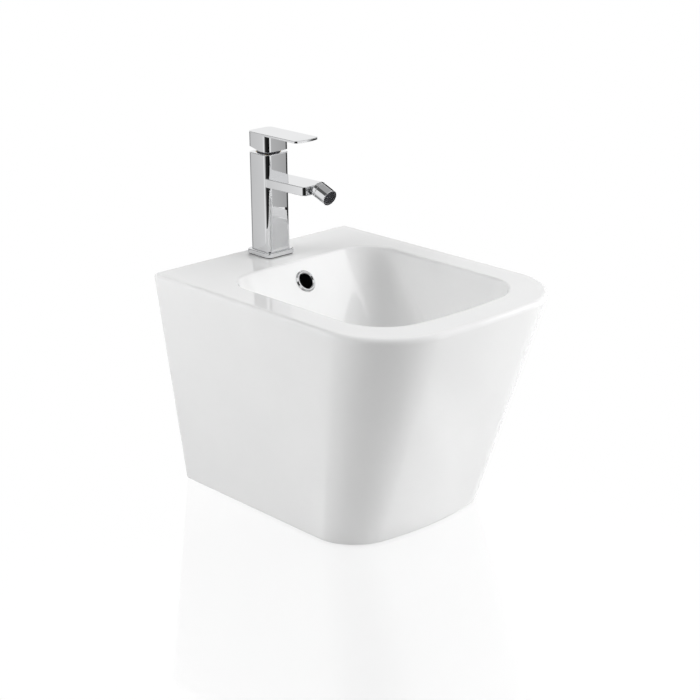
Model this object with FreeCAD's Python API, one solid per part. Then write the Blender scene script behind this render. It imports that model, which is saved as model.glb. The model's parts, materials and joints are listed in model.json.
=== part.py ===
import FreeCAD, Part
import math
import os

# Wall-hung bidet with a single-lever tap. Millimetres.
# Origin: midway between the two wall stud holes, on the wall face. +X right seen from the front,
# +Y into the wall, +Z up. Threads are plain cylinders of the thread's size.

# Ceramic body, outside
body_width = 360.0
body_depth = 460.0
body_height = 316.0
foot_width = 276.0
foot_depth = 358.0
rim_corner_radius = 106.0
foot_corner_radius = 68.0
rim_front_radius = 1160.0
foot_front_radius = 436.0
rim_edge_radius = 6.0
rear_edge_radius = 3.0
foot_edge_radius = 5.0

# Ceramic walls
shell_thickness = 11.0
deck_thickness = 14.0
floor_thickness = 16.0
back_wall = 14.0

# Basin
side_rim_width = 45.0
basin_rear = 95.0
basin_front = 409.0
basin_depth = 150.0
basin_rear_corner = 52.0
basin_front_corner = 68.0
basin_front_radius = 700.0
side_draft_angle = 8.0
front_draft_angle = 12.0
rear_draft_angle = 34.0
floor_fillet_radius = 45.0
lip_radius = 4.5

# Wall fixing
stud_spacing = 180.0
studs_below_rim = 90.0
stud_bore = 12.4
sleeve_wall = 3.5
sleeve_flange = 34.0
sleeve_flange_thickness = 3.0
pad_size = 46.0
pad_thickness = 10.0

# Opening in the back wall for the pipes
window_width = 140.0
window_top_below_studs = 45.0

# Overflow
overflow_below_rim = 26.0
overflow_bore = 22.0
overflow_ring_diameter = 32.0
overflow_ring_thickness = 3.0
overflow_ring_edge = 1.0
overflow_ring_bevel = 2.0
overflow_ring_inner_bevel = 1.5
overflow_sleeve_wall = 0.9
channel_width = 26.0
channel_depth = 14.0
channel_wall = 8.0

# Waste
drain_from_wall = 272.0
dish_diameter = 100.0
dish_depth = 6.0
dish_margin = 2.0
waste_hole = 46.0
boss_wall = 12.0
boss_height = 36.0
waste_flange_diameter = 64.0
waste_flange_thickness = 4.0
waste_flange_bevel = 1.0
waste_seal_thickness = 2.0
waste_seal_inset = 2.0
waste_tube_diameter = 42.0
waste_tube_wall = 2.5
waste_thread_below_boss = 32.0
tail_diameter = 32.0
tail_length = 42.0
tail_wall = 1.5
cone_washer_thickness = 6.0
cone_washer_width = 8.0
cone_height = 3.0
cone_tip = 0.3
slip_washer_thickness = 2.0
slip_washer_width = 11.0
back_nut_across_flats = 58.0
back_nut_height = 12.0
slot_height = 12.0
slot_width = 20.0

# Plug
plug_diameter = 38.0
plug_thickness = 5.0
plug_crown = 2.0
plug_seal_thickness = 2.0
plug_seal_inset = 0.5
plug_socket = 2.5
plug_seat_width = 3.0
plug_seat_thickness = 3.0
spindle_diameter = 6.0
plug_cartridge_diameter = 11.0
plug_cartridge_length = 26.0
plug_cartridge_above_spider = 9.0
spider_above_boss_foot = 13.0
spindle_below_spider = 0.5
spindle_foot_gap = 1.0
spider_thickness = 6.0
spider_arm = 4.0
spider_hub_wall = 3.0

# Tap column, spout and base
tap_from_wall = 40.0
tap_hole = 35.0
column_size = 42.0
column_corner = 8.0
column_top_above_deck = 146.4
column_edge_radius = 1.2
base_plate_size = 50.0
base_plate_corner = 7.5
base_plate_thickness = 6.5
base_seal_thickness = 1.5
base_seal_inset = 1.5
spigot_diameter = 33.2
spigot_length = 6.0
spout_width = 41.0
spout_thickness = 12.5
spout_reach = 75.0
spout_rise_angle = 1.0
spout_top_above_deck = 113.4
spout_corner = 5.5
spout_edge_radius = 1.0
waterway = 6.0
inlet_thread = 8.9
inlet_thread_depth = 14.0
inlet_half_spacing = 7.5
inlet_forward = 5.0
outlet_back = 7.0

# Tap fixing under the deck
stud_diameter = 6.0
stud_back = 12.0
stud_into_body = 18.0
horseshoe_diameter = 48.0
horseshoe_slot = 29.0
horseshoe_slot_back = 3.0
gasket_thickness = 3.0
horseshoe_thickness = 2.5
mounting_nut_across_flats = 10.0
mounting_nut_height = 14.0
stud_below_nut = 6.0

# Cartridge
cartridge_diameter = 34.8
cartridge_depth = 30.0
cartridge_base_thickness = 4.0
seal_section = 1.4
seal_height = 1.8
port_diameter = 5.6
fixed_disc_diameter = 27.6
fixed_disc_thickness = 3.5
moving_disc_diameter = 21.0
moving_disc_thickness = 6.0
pocket_diameter = 13.0
pocket_depth = 1.5
housing_wall = 3.3
carrier_flange_thickness = 3.0
carrier_neck_diameter = 23.0
carrier_neck_height = 8.0
pivot_above_shoulder = 4.0
nut_height = 6.5
nut_bore = 24.6
collar_height = 2.0
collar_sunk = 0.5
collar_edge_radius = 0.8
collar_bore_margin = 0.5
collar_diameter = 33.0
spindle_size = 8.0
spindle_corner = 1.0
spindle_stem_diameter = 3.6
spindle_ball_diameter = 5.2
pin_diameter = 3.0
pin_length = 20.0
lift_angle = 22.0

# Lever
lever_gap = 3.4
lever_head_height = 25.7
lever_plate_thickness = 3.2
lever_length = 105.0
lever_tip_bulge = 4.0
lever_corner = 8.0
lever_tip_corner = 5.0
lever_chamfer_length = 29.0
lever_chamfer_height = 6.0
lever_edge_radius = 0.8
lever_recess_diameter = 27.0
lever_recess_depth = 6.0
socket_depth = 17.0
screw_above_lever_foot = 13.0
grub_diameter = 5.0
grub_length = 9.0
cover_diameter = 7.0
cover_thickness = 2.0

# Swivel aerator
nipple_thread_diameter = 8.0
nipple_thread_length = 9.0
nipple_collar_diameter = 10.0
nipple_collar_thickness = 1.2
nipple_neck_diameter = 6.6
nipple_bore = 4.4
ball_diameter = 16.0
ball_ahead_of_spout = 10.6
seat_thickness = 1.25
seat_from_angle = 65.0
seat_to_angle = 100.0
mouth_angle = 57.0
aerator_diameter = 23.0
aerator_back_radius = 1.0
aerator_front_radius = 0.6
aerator_behind_ball = 6.0
aerator_ahead_of_ball = 19.7
swivel_cap_ahead_of_ball = 1.0
aerator_tilt_angle = 20.5
chamber_wall = 1.4
shoulder_from_ball = 8.8
shoulder_thickness = 1.6
shoulder_bore = 14.0
washer_thickness = 1.5
insert_recess = 0.8
insert_ring = 2.0
mesh_thickness = 1.2

# Clearances
fit_gap = 0.2
moving_gap = 0.35
running_gap = 0.05
pin_gap = 0.05
seal_gap = 0.1
close_gap = 0.02

# How far a cut runs past a face, and how far from a line an edge is looked for
cut_past = 1.0
search_margin = 1.0

# Heights and places worked out from the sizes above
basin_width = body_width - 2 * side_rim_width
rim_z = studs_below_rim
bottom_z = rim_z - body_height
deck_under_z = rim_z - deck_thickness
floor_z = rim_z - basin_depth
floor_under_z = floor_z - floor_thickness
boss_under_z = floor_under_z - boss_height
seat_z = floor_z - dish_depth
drain_y = -drain_from_wall
tap_y = -tap_from_wall
column_front_y = tap_y - column_size / 2
column_bottom_z = rim_z + base_seal_thickness + base_plate_thickness
column_top_z = rim_z + column_top_above_deck
cartridge_seat_z = column_top_z - cartridge_depth
origin = FreeCAD.Vector(0, 0, 0)
x_axis = FreeCAD.Vector(1, 0, 0)
y_axis = FreeCAD.Vector(0, 1, 0)
z_axis = FreeCAD.Vector(0, 0, 1)


def vec(x, y, z=0.0):
    return FreeCAD.Vector(x, y, z)


def box(low, high):
    size = [high[i] - low[i] for i in range(3)]
    return Part.makeBox(size[0], size[1], size[2], vec(*low))


def cylinder(diameter, z_low, z_high, x=0.0, y=0.0):
    return Part.makeCylinder(diameter / 2, z_high - z_low, vec(x, y, z_low))


def through_cut(diameter, z_low, z_high, x=0.0, y=0.0):
    return cylinder(diameter, z_low - cut_past, z_high + cut_past, x, y)


def ring(outer, inner, z_low, z_high, x=0.0, y=0.0):
    return cylinder(outer, z_low, z_high, x, y).cut(through_cut(inner, z_low, z_high, x, y))


def upright_edges(shape):
    return [e for e in shape.Edges if abs(e.Vertexes[0].Z - e.Vertexes[-1].Z) > search_margin]


def hexagon(across_flats, z_low, z_high, x=0.0, y=0.0):
    reach = across_flats / math.sqrt(3)
    corners = [vec(x + reach * math.cos(math.radians(60 * i)),
                   y + reach * math.sin(math.radians(60 * i)), z_low) for i in range(7)]
    return Part.Face(Part.makePolygon(corners)).extrude(vec(0, 0, z_high - z_low))


def turned(points):
    # A solid of revolution about Z from a closed outline of (radius, z) points
    outline = Part.makePolygon([vec(r, 0, z) for r, z in points + points[:1]])
    return Part.Face(outline).revolve(origin, z_axis, 360)


def edge_line(start, end):
    return Part.LineSegment(vec(*start), vec(*end)).toShape()


def edge_arc(centre, radius, from_angle, to_angle, z):
    places = [vec(centre[0] + radius * math.cos(a), centre[1] + radius * math.sin(a), z)
              for a in (from_angle, (from_angle + to_angle) / 2, to_angle)]
    return Part.Arc(*places).toShape()


def end_point(edge):
    point = edge.lastVertex(True).Point
    return point.x, point.y, point.z


def start_point(edge):
    point = edge.firstVertex(True).Point
    return point.x, point.y, point.z


def rounded_block(size_x, size_y, corner, z_low, z_high, x=0.0, y=0.0):
    half_x = size_x / 2
    half_y = size_y / 2
    block = box((x - half_x, y - half_y, z_low), (x + half_x, y + half_y, z_high))
    upright = [e for e in block.Edges if abs(e.Vertexes[0].Z - e.Vertexes[1].Z) > 1e-6]
    return block.makeFillet(corner, upright)


def aimed(shape, elevation, place):
    # Turns a shape made along +Z so that its axis points to the front, raised by elevation, then places it
    turned_shape = shape.copy()
    turned_shape.rotate(origin, x_axis, 90 - elevation)
    turned_shape.translate(place)
    return turned_shape


def level_edges(shape, z, keep):
    # Edges that lie at height z and whose middle point passes keep(x, y)
    found = []
    for edge in shape.Edges:
        if all(abs(v.Z - z) < 1e-4 for v in edge.Vertexes):
            middle = edge.valueAt((edge.FirstParameter + edge.LastParameter) / 2)
            if abs(middle.z - z) < 1e-4 and keep(middle.x, middle.y):
                found.append(edge)
    return found


def front_outline(half, back, front, corner, front_radius, z):
    # Outline with a straight back, straight sides, two front corners and a bowed front
    lean = math.asin((half - corner) / (front_radius - corner))
    bow_y = front + front_radius
    corner_y = bow_y - (front_radius - corner) * math.cos(lean)
    right_end = -math.pi / 2 + lean
    right_corner = edge_arc((half - corner, corner_y), corner, 0, right_end, z)
    bow = edge_arc((0, bow_y), front_radius, right_end, -math.pi - right_end, z)
    left_corner = edge_arc((corner - half, corner_y), corner, -math.pi - right_end, -math.pi, z)
    right_side = edge_line((half, back, z), start_point(right_corner))
    left_side = edge_line(end_point(left_corner), (-half, back, z))
    back_edge = edge_line((-half, back, z), (half, back, z))
    return Part.Wire([back_edge, right_side, right_corner, bow, left_corner, left_side])


def outer_outline(z, inset=0.0, back=0.0):
    share = (z - bottom_z) / body_height
    half = (foot_width + (body_width - foot_width) * share) / 2 - inset
    front = -(foot_depth + (body_depth - foot_depth) * share) + inset
    corner = foot_corner_radius + (rim_corner_radius - foot_corner_radius) * share - inset
    bow = foot_front_radius + (rim_front_radius - foot_front_radius) * share - inset
    return front_outline(half, -back, front, corner, bow, z)


def basin_outline(z, grow=0.0):
    # The basin's outline at a height, drawn in by the draft of each wall
    drop = rim_z - z
    half = basin_width / 2 - drop * math.tan(math.radians(side_draft_angle)) + grow
    rear = -basin_rear - drop * math.tan(math.radians(rear_draft_angle)) + grow
    front = -basin_front + drop * math.tan(math.radians(front_draft_angle)) - grow
    rear_corner = basin_rear_corner + grow
    corner = basin_front_corner + grow
    lean = math.asin((half - corner) / (basin_front_radius - corner))
    bow_y = front + basin_front_radius
    corner_y = bow_y - (basin_front_radius - corner) * math.cos(lean)
    right_end = -math.pi / 2 + lean
    right_rear = edge_arc((half - rear_corner, rear - rear_corner), rear_corner, math.pi / 2, 0, z)
    right_front = edge_arc((half - corner, corner_y), corner, 0, right_end, z)
    bow = edge_arc((0, bow_y), basin_front_radius, right_end, -math.pi - right_end, z)
    left_front = edge_arc((corner - half, corner_y), corner, -math.pi - right_end, -math.pi, z)
    left_rear = edge_arc((rear_corner - half, rear - rear_corner), rear_corner, math.pi, math.pi / 2, z)
    right_side = edge_line(end_point(right_rear), start_point(right_front))
    left_side = edge_line(end_point(left_front), start_point(left_rear))
    rear_edge = edge_line(end_point(left_rear), start_point(right_rear))
    return Part.Wire([rear_edge, right_rear, right_side, right_front, bow, left_front, left_side, left_rear])


def rounded_floor(pocket, z, radius):
    return pocket.makeFillet(radius, level_edges(pocket, z, lambda x, y: True))


def basin_space():
    pocket = Part.makeLoft([basin_outline(floor_z), basin_outline(rim_z)], True, True)
    return rounded_floor(pocket, floor_z, floor_fillet_radius)


def basin_shell():
    outlines = [basin_outline(floor_under_z, shell_thickness), basin_outline(rim_z, shell_thickness)]
    pocket = Part.makeLoft(outlines, True, True)
    return rounded_floor(pocket, floor_under_z, floor_fillet_radius + shell_thickness)


def rear_wall_point(drop, out=0.0):
    # A point in the middle plane, on the rear basin wall at a depth, moved out of the basin square to it
    lean = math.radians(rear_draft_angle)
    y = -basin_rear - drop * math.tan(lean) + out * math.cos(lean)
    z = rim_z - drop - out * math.sin(lean)
    return y, z


def channel_profile(wall):
    # The overflow channel's side view: down behind the rear basin wall, then forward to the drain
    lean = math.radians(rear_draft_angle)
    top = overflow_below_rim - overflow_bore / 2 - wall
    near = 0 if wall else shell_thickness
    far = shell_thickness + channel_depth + wall
    under = floor_z if wall else floor_under_z
    low = floor_under_z - channel_depth - wall

    def at_height(out, z):
        y, start = rear_wall_point(0, out)
        return y - (start - z) * math.tan(lean), z

    points = [rear_wall_point(top, near), rear_wall_point(top, far), at_height(far, low)]
    points += [(drain_y, low), (drain_y, under), at_height(near, under)]
    return points


def channel_solid(wall):
    half = channel_width / 2 + wall
    points = [vec(-half, y, z) for y, z in channel_profile(wall)]
    face = Part.Face(Part.makePolygon(points + points[:1]))
    return face.extrude(vec(2 * half, 0, 0))


def stud_places():
    return [-stud_spacing / 2, stud_spacing / 2]


def stud_hole(x, diameter, y_low, y_high):
    return Part.makeCylinder(diameter / 2, y_high - y_low, vec(x, y_low, 0), y_axis)


def service_space():
    # The hollow between outer shell_thickness and basin, open underneath
    low = bottom_z - cut_past
    high = deck_under_z
    outlines = [outer_outline(z, shell_thickness, back_wall) for z in (low, high)]
    hollow = Part.makeLoft(outlines, True, True)
    hollow = hollow.cut(basin_shell())
    boss = cylinder(waste_hole + 2 * boss_wall, boss_under_z, floor_z, 0, drain_y)
    hollow = hollow.cut(boss).cut(channel_solid(channel_wall))
    for x in stud_places():
        pad = box((x - pad_size / 2, -back_wall - pad_thickness, -pad_size / 2),
                  (x + pad_size / 2, 0, pad_size / 2))
        hollow = hollow.cut(pad)
    return hollow


def overflow_place():
    y, z = rear_wall_point(overflow_below_rim)
    return vec(0, y, z)


def ceramic_body():
    outlines = [outer_outline(bottom_z, 0, -back_wall), outer_outline(rim_z, 0, -back_wall)]
    outer = Part.makeLoft(outlines, True, True)
    outer = outer.cut(box((-body_width, 0, bottom_z - cut_past), (body_width, body_depth, rim_z + cut_past)))
    outer = outer.makeFillet(foot_edge_radius, level_edges(outer, bottom_z, lambda x, y: y < -search_margin))
    outer = outer.makeFillet(rim_edge_radius, level_edges(outer, rim_z, lambda x, y: y < -search_margin))
    outer = outer.makeFillet(rear_edge_radius, level_edges(outer, rim_z, lambda x, y: y > -search_margin))
    body = outer.cut(basin_space())
    lip_half = basin_width / 2 + search_margin
    lip_front = -basin_front - search_margin
    lip_rear = -basin_rear + search_margin
    lip = level_edges(body, rim_z, lambda x, y: abs(x) < lip_half and lip_front < y < lip_rear)
    body = body.makeFillet(lip_radius, lip)
    flat = waste_flange_diameter / 2 + dish_margin
    dish = Part.makeCone(flat, dish_diameter / 2, dish_depth, vec(0, drain_y, seat_z))
    body = body.cut(dish).cut(service_space()).cut(channel_solid(0))
    body = body.cut(through_cut(waste_hole, boss_under_z, floor_z, 0, drain_y))
    body = body.cut(through_cut(tap_hole, deck_under_z, rim_z, 0, tap_y))
    hole_size = overflow_bore + 2 * overflow_sleeve_wall + 2 * fit_gap
    hole = cylinder(hole_size, -shell_thickness - channel_depth / 2, shell_thickness)
    body = body.cut(aimed(hole, rear_draft_angle, overflow_place()))
    depth = back_wall + pad_thickness
    hole_size = stud_bore + 2 * sleeve_wall + 2 * fit_gap
    for x in stud_places():
        body = body.cut(stud_hole(x, hole_size, -depth - cut_past, cut_past))
    half = window_width / 2
    window = box((-half, -back_wall - cut_past, bottom_z - cut_past),
                 (half, cut_past, -window_top_below_studs))
    return body.cut(window)


def stud_sleeves():
    sleeves = []
    depth = back_wall + pad_thickness
    for x in stud_places():
        tube = stud_hole(x, stud_bore + 2 * sleeve_wall, -depth, 0)
        flange = stud_hole(x, sleeve_flange, -depth - sleeve_flange_thickness, -depth)
        bore = stud_hole(x, stud_bore, -depth - sleeve_flange_thickness - cut_past, cut_past)
        sleeves.append(tube.fuse(flange).cut(bore).removeSplitter())
    return Part.makeCompound(sleeves)


def overflow_ring():
    inner = overflow_bore / 2
    outer = overflow_ring_diameter / 2
    sleeve = inner + overflow_sleeve_wall
    crown = overflow_ring_thickness
    foot = -shell_thickness
    profile = [(inner, foot), (sleeve, foot), (sleeve, 0), (outer, 0), (outer, overflow_ring_edge),
               (outer - overflow_ring_bevel, crown), (inner + overflow_ring_inner_bevel, crown),
               (inner, crown - overflow_ring_inner_bevel)]
    return aimed(turned(profile), rear_draft_angle, overflow_place())


def waste_flange_low():
    return seat_z + waste_seal_thickness


def waste_flange_high():
    return waste_flange_low() + waste_flange_thickness


def waste_thread_low():
    return boss_under_z - waste_thread_below_boss


def plug_seat_z():
    return waste_flange_high() - plug_thickness - plug_seal_thickness


def spider_top_z():
    return boss_under_z + spider_above_boss_foot


def waste_tube():
    # The turned part of the waste: flange, plug seat, threaded tube and tail
    outer = waste_tube_diameter / 2
    inner = outer - waste_tube_wall
    flange = waste_flange_diameter / 2
    flange_low = waste_flange_low()
    flange_high = waste_flange_high()
    thread_low = waste_thread_low()
    step = thread_low + tail_wall
    tail_low = thread_low - tail_length
    tail_outer = tail_diameter / 2
    tail_inner = tail_outer - tail_wall
    bore = plug_diameter / 2 + moving_gap
    seat = plug_seat_z()
    seat_low = seat - plug_seat_thickness
    seat_bore = bore - plug_seat_width
    profile = [(bore, seat), (bore, flange_high), (flange - waste_flange_bevel, flange_high),
               (flange, flange_high - waste_flange_bevel), (flange, flange_low), (outer, flange_low),
               (outer, thread_low), (tail_outer, thread_low), (tail_outer, tail_low), (tail_inner, tail_low),
               (tail_inner, step), (inner, step), (inner, seat_low), (seat_bore, seat_low), (seat_bore, seat)]
    tube = turned(profile)
    tube.translate(vec(0, drain_y, 0))
    return tube


def waste_spider():
    # Hub on four arms that holds the plug's cartridge
    high = spider_top_z()
    low = high - spider_thickness
    half = spider_arm / 2
    reach = waste_tube_diameter / 2 - waste_tube_wall / 2
    hub = cylinder(plug_cartridge_diameter + 2 * spider_hub_wall, low, high, 0, drain_y)
    across = box((-reach, drain_y - half, low), (reach, drain_y + half, high))
    along = box((-half, drain_y - reach, low), (half, drain_y + reach, high))
    hole = through_cut(plug_cartridge_diameter + 2 * close_gap, low, high, 0, drain_y)
    return hub.fuse(across).fuse(along).cut(hole)


def waste_body():
    high = floor_under_z
    reach = waste_tube_diameter
    half = slot_width / 2
    slot = box((-half, drain_y - reach, high - slot_height), (half, drain_y + reach, high))
    return waste_tube().fuse(waste_spider()).cut(slot).removeSplitter()


def waste_top_seal():
    outer = waste_flange_diameter - 2 * waste_seal_inset
    return ring(outer, waste_hole + 2 * fit_gap, seat_z, waste_flange_low(), 0, drain_y)


def waste_cone_washer():
    inner = waste_tube_diameter / 2 + seal_gap
    outer = waste_hole / 2 + cone_washer_width
    lip = waste_hole / 2 - seal_gap
    high = boss_under_z
    low = high - cone_washer_thickness
    tip = high + cone_height
    profile = [(inner, low), (outer, low), (outer, high), (lip, high), (inner + cone_tip, tip), (inner, tip)]
    washer = turned(profile)
    washer.translate(vec(0, drain_y, 0))
    return washer


def waste_slip_washer():
    high = boss_under_z - cone_washer_thickness
    inner = waste_tube_diameter + 2 * fit_gap
    return ring(waste_hole + 2 * slip_washer_width, inner, high - slip_washer_thickness, high, 0, drain_y)


def waste_back_nut():
    high = boss_under_z - cone_washer_thickness - slip_washer_thickness
    low = high - back_nut_height
    nut = hexagon(back_nut_across_flats, low, high, 0, drain_y)
    return nut.cut(through_cut(waste_tube_diameter + 2 * close_gap, low, high, 0, drain_y))


def plug_cap_low():
    return waste_flange_high() - plug_thickness


def plug_cap():
    low = plug_cap_low()
    high = low + plug_thickness
    half = plug_diameter / 2
    dome_radius = (half ** 2 + plug_crown ** 2) / (2 * plug_crown)
    dome = Part.makeSphere(dome_radius, vec(0, drain_y, high - dome_radius))
    cap = cylinder(plug_diameter, low, high, 0, drain_y).common(dome)
    return cap.cut(cylinder(spindle_diameter + 2 * close_gap, low - cut_past, low + plug_socket, 0, drain_y))


def plug_seal():
    high = plug_cap_low()
    inner = spindle_diameter + 2 * close_gap
    return ring(plug_diameter - 2 * plug_seal_inset, inner, high - plug_seal_thickness, high, 0, drain_y)


def plug_spindle_low():
    return spider_top_z() - spider_thickness - spindle_below_spider


def plug_spindle():
    return cylinder(spindle_diameter, plug_spindle_low(), plug_cap_low() + plug_socket, 0, drain_y)


def plug_cartridge():
    high = spider_top_z() + plug_cartridge_above_spider
    low = high - plug_cartridge_length
    body = cylinder(plug_cartridge_diameter, low, high, 0, drain_y)
    bore = spindle_diameter + 2 * running_gap
    return body.cut(cylinder(bore, plug_spindle_low() - spindle_foot_gap, high + cut_past, 0, drain_y))


def tap_base_seal():
    low = rim_z
    high = low + base_seal_thickness
    size = base_plate_size - 2 * base_seal_inset
    seal = rounded_block(size, size, base_plate_corner - base_seal_inset, low, high, 0, tap_y)
    return seal.cut(through_cut(spigot_diameter + 2 * fit_gap, low, high, 0, tap_y))


def tap_base_plate():
    low = rim_z + base_seal_thickness
    high = low + base_plate_thickness
    plate = rounded_block(base_plate_size, base_plate_size, base_plate_corner, low, high, 0, tap_y)
    plate = plate.makeFillet(column_edge_radius, level_edges(plate, high, lambda x, y: True))
    return plate.cut(through_cut(spigot_diameter + 2 * fit_gap, low, high, 0, tap_y))


def spout_turn(shape):
    turned_shape = shape.copy()
    turned_shape.rotate(vec(0, column_front_y, rim_z + spout_top_above_deck), x_axis, -spout_rise_angle)
    return turned_shape


def spout_blank():
    high = rim_z + spout_top_above_deck
    low = high - spout_thickness
    half = spout_width / 2
    tip = column_front_y - spout_reach
    bar = box((-half, tip, low), (half, tap_y, high))
    front = [e for e in upright_edges(bar) if e.Vertexes[0].Y < tip + search_margin]
    bar = bar.makeFillet(spout_corner, front)
    rims = [e for z in (low, high) for e in level_edges(bar, z, lambda x, y: y < tap_y - search_margin)]
    return spout_turn(bar.makeFillet(spout_edge_radius, rims))


def spout_axis_point(ahead):
    # A point on the spout's middle line, ahead of the spout's front face
    y = column_front_y - spout_reach - ahead
    z = rim_z + spout_top_above_deck - spout_thickness / 2
    return spout_turn(Part.Vertex(0, y, z)).Point


def tap_body():
    column = rounded_block(column_size, column_size, column_corner, column_bottom_z, column_top_z, 0, tap_y)
    column = column.makeFillet(column_edge_radius, level_edges(column, column_top_z, lambda x, y: True))
    spigot = cylinder(spigot_diameter, column_bottom_z - spigot_length, column_bottom_z, 0, tap_y)
    body = column.fuse(spout_blank()).fuse(spigot).removeSplitter()
    bore = cartridge_diameter + 2 * fit_gap
    body = body.cut(cylinder(bore, cartridge_seat_z, column_top_z + cut_past, 0, tap_y))
    low = column_bottom_z - spigot_length
    for x in (-inlet_half_spacing, inlet_half_spacing):
        y = tap_y - inlet_forward
        body = body.cut(cylinder(waterway, low, cartridge_seat_z + cut_past, x, y))
        body = body.cut(cylinder(inlet_thread, low - cut_past, low + inlet_thread_depth, x, y))
    middle = spout_axis_point(0)
    body = body.cut(cylinder(waterway, middle.z, cartridge_seat_z + cut_past, 0, tap_y + outlet_back))
    run = spout_reach + column_size / 2 + outlet_back
    body = body.cut(aimed(cylinder(waterway, -run, cut_past), spout_rise_angle, middle))
    thread = cylinder(nipple_thread_diameter + 2 * close_gap, -nipple_thread_length - cut_past, cut_past)
    body = body.cut(aimed(thread, spout_rise_angle, middle))
    stud_hole_size = stud_diameter + 2 * close_gap
    return body.cut(cylinder(stud_hole_size, low - cut_past, low + stud_into_body, 0, tap_y + stud_back))


def nut_low():
    return deck_under_z - gasket_thickness - horseshoe_thickness - mounting_nut_height


def mounting_stud():
    high = column_bottom_z - spigot_length + stud_into_body
    return cylinder(stud_diameter, nut_low() - stud_below_nut, high, 0, tap_y + stud_back)


def horseshoe(low, high):
    plate = cylinder(horseshoe_diameter, low, high, 0, tap_y)
    slot = box((-horseshoe_slot / 2, tap_y - horseshoe_diameter, low - cut_past),
               (horseshoe_slot / 2, tap_y + horseshoe_slot_back, high + cut_past))
    return plate.cut(slot).cut(through_cut(stud_diameter + 2 * fit_gap, low, high, 0, tap_y + stud_back))


def horseshoe_gasket():
    return horseshoe(deck_under_z - gasket_thickness, deck_under_z)


def horseshoe_washer():
    high = deck_under_z - gasket_thickness
    return horseshoe(high - horseshoe_thickness, high)


def mounting_nut():
    low = nut_low()
    high = low + mounting_nut_height
    nut = hexagon(mounting_nut_across_flats, low, high, 0, tap_y + stud_back)
    return nut.cut(through_cut(stud_diameter + 2 * close_gap, low, high, 0, tap_y + stud_back))


def port_places():
    return [(-inlet_half_spacing, -inlet_forward), (inlet_half_spacing, -inlet_forward), (0, outlet_back)]


def with_ports(shape, diameter, low, high):
    for x, y in port_places():
        shape = shape.cut(through_cut(diameter, low, high, x, tap_y + y))
    return shape


def cartridge_levels():
    # Heights of the cartridge's layers, from its seat up
    base = cartridge_seat_z + seal_gap
    disc = base + cartridge_base_thickness
    moving = disc + fixed_disc_thickness
    carrier = moving + moving_disc_thickness + fit_gap
    shoulder = carrier + carrier_flange_thickness + fit_gap
    top = column_top_z - nut_height - collar_sunk
    return base, disc, moving, carrier, shoulder, top


def seal_outer():
    return port_diameter + 2 * seal_section


def cartridge_base():
    base, disc = cartridge_levels()[:2]
    body = with_ports(cylinder(cartridge_diameter, base, disc, 0, tap_y), port_diameter, base, disc)
    return with_ports(body, seal_outer() + 2 * seal_gap, base - cut_past, base + seal_height - cut_past)


def cartridge_seals():
    low = cartridge_seat_z
    high = cartridge_levels()[0] + seal_height - seal_gap
    rings = [ring(seal_outer(), port_diameter, low, high, x, tap_y + y) for x, y in port_places()]
    return Part.makeCompound(rings)


def fixed_disc():
    disc, moving = cartridge_levels()[1:3]
    return with_ports(cylinder(fixed_disc_diameter, disc, moving, 0, tap_y), port_diameter, disc, moving)


def pivot_z():
    shoulder = cartridge_levels()[4]
    return shoulder + pivot_above_shoulder


def ball_z():
    carrier = cartridge_levels()[3]
    return carrier - fit_gap


def moving_disc():
    moving = cartridge_levels()[2]
    high = moving + moving_disc_thickness
    disc = cylinder(moving_disc_diameter, moving + close_gap, high, 0, tap_y)
    pocket_y = tap_y + outlet_back / 2
    disc = disc.cut(cylinder(pocket_diameter, moving - cut_past, moving + pocket_depth, 0, pocket_y))
    pocket = spindle_ball_diameter + 2 * moving_gap
    pocket_low = ball_z() - spindle_ball_diameter / 2 - moving_gap
    return disc.cut(cylinder(pocket, pocket_low, high + cut_past, 0, tap_y))


def carrier_slot(low, high):
    # Room for the spindle to lean back above the pivot and forward below it
    lean = math.radians(lift_angle)
    arm = max(high - pivot_z(), pivot_z() - low)
    reach = arm * math.tan(lean) + spindle_size / 2 / math.cos(lean) + moving_gap
    half = spindle_size / 2 + moving_gap
    return box((-half, tap_y - reach, low - cut_past), (half, tap_y + reach, high + cut_past))


def cartridge_carrier():
    carrier, shoulder, top = cartridge_levels()[3:]
    high = shoulder + carrier_neck_height
    flange_size = cartridge_diameter - 2 * housing_wall - 2 * fit_gap
    flange = cylinder(flange_size, carrier, shoulder - fit_gap, 0, tap_y)
    body = flange.fuse(cylinder(carrier_neck_diameter, carrier, high, 0, tap_y)).removeSplitter()
    body = body.cut(carrier_slot(carrier, high))
    hole = pin_diameter / 2 + close_gap
    return body.cut(Part.makeCylinder(hole, pin_length, vec(-pin_length / 2, tap_y, pivot_z()), x_axis))


def spindle_pin():
    return Part.makeCylinder(pin_diameter / 2, pin_length, vec(-pin_length / 2, tap_y, pivot_z()), x_axis)


def cartridge_housing():
    disc = cartridge_levels()[1]
    shoulder, top = cartridge_levels()[4:]
    body = cylinder(cartridge_diameter, disc, top, 0, tap_y)
    body = body.cut(cylinder(cartridge_diameter - 2 * housing_wall, disc - cut_past, shoulder, 0, tap_y))
    return body.cut(through_cut(carrier_neck_diameter + 2 * running_gap, shoulder, top, 0, tap_y))


def retaining_nut():
    low = cartridge_levels()[5]
    outer = cartridge_diameter + 2 * fit_gap - 2 * close_gap
    return ring(outer, nut_bore, low, low + nut_height, 0, tap_y)


def cartridge_collar():
    low = cartridge_levels()[5] + nut_height
    collar = ring(collar_diameter, nut_bore + 2 * collar_bore_margin, low, low + collar_height, 0, tap_y)
    rim = collar_diameter / 2 - search_margin
    top = level_edges(collar, low + collar_height, lambda x, y: math.hypot(x, y - tap_y) > rim)
    return collar.makeFillet(collar_edge_radius, top)


def lever_low():
    return column_top_z + lever_gap


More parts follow.
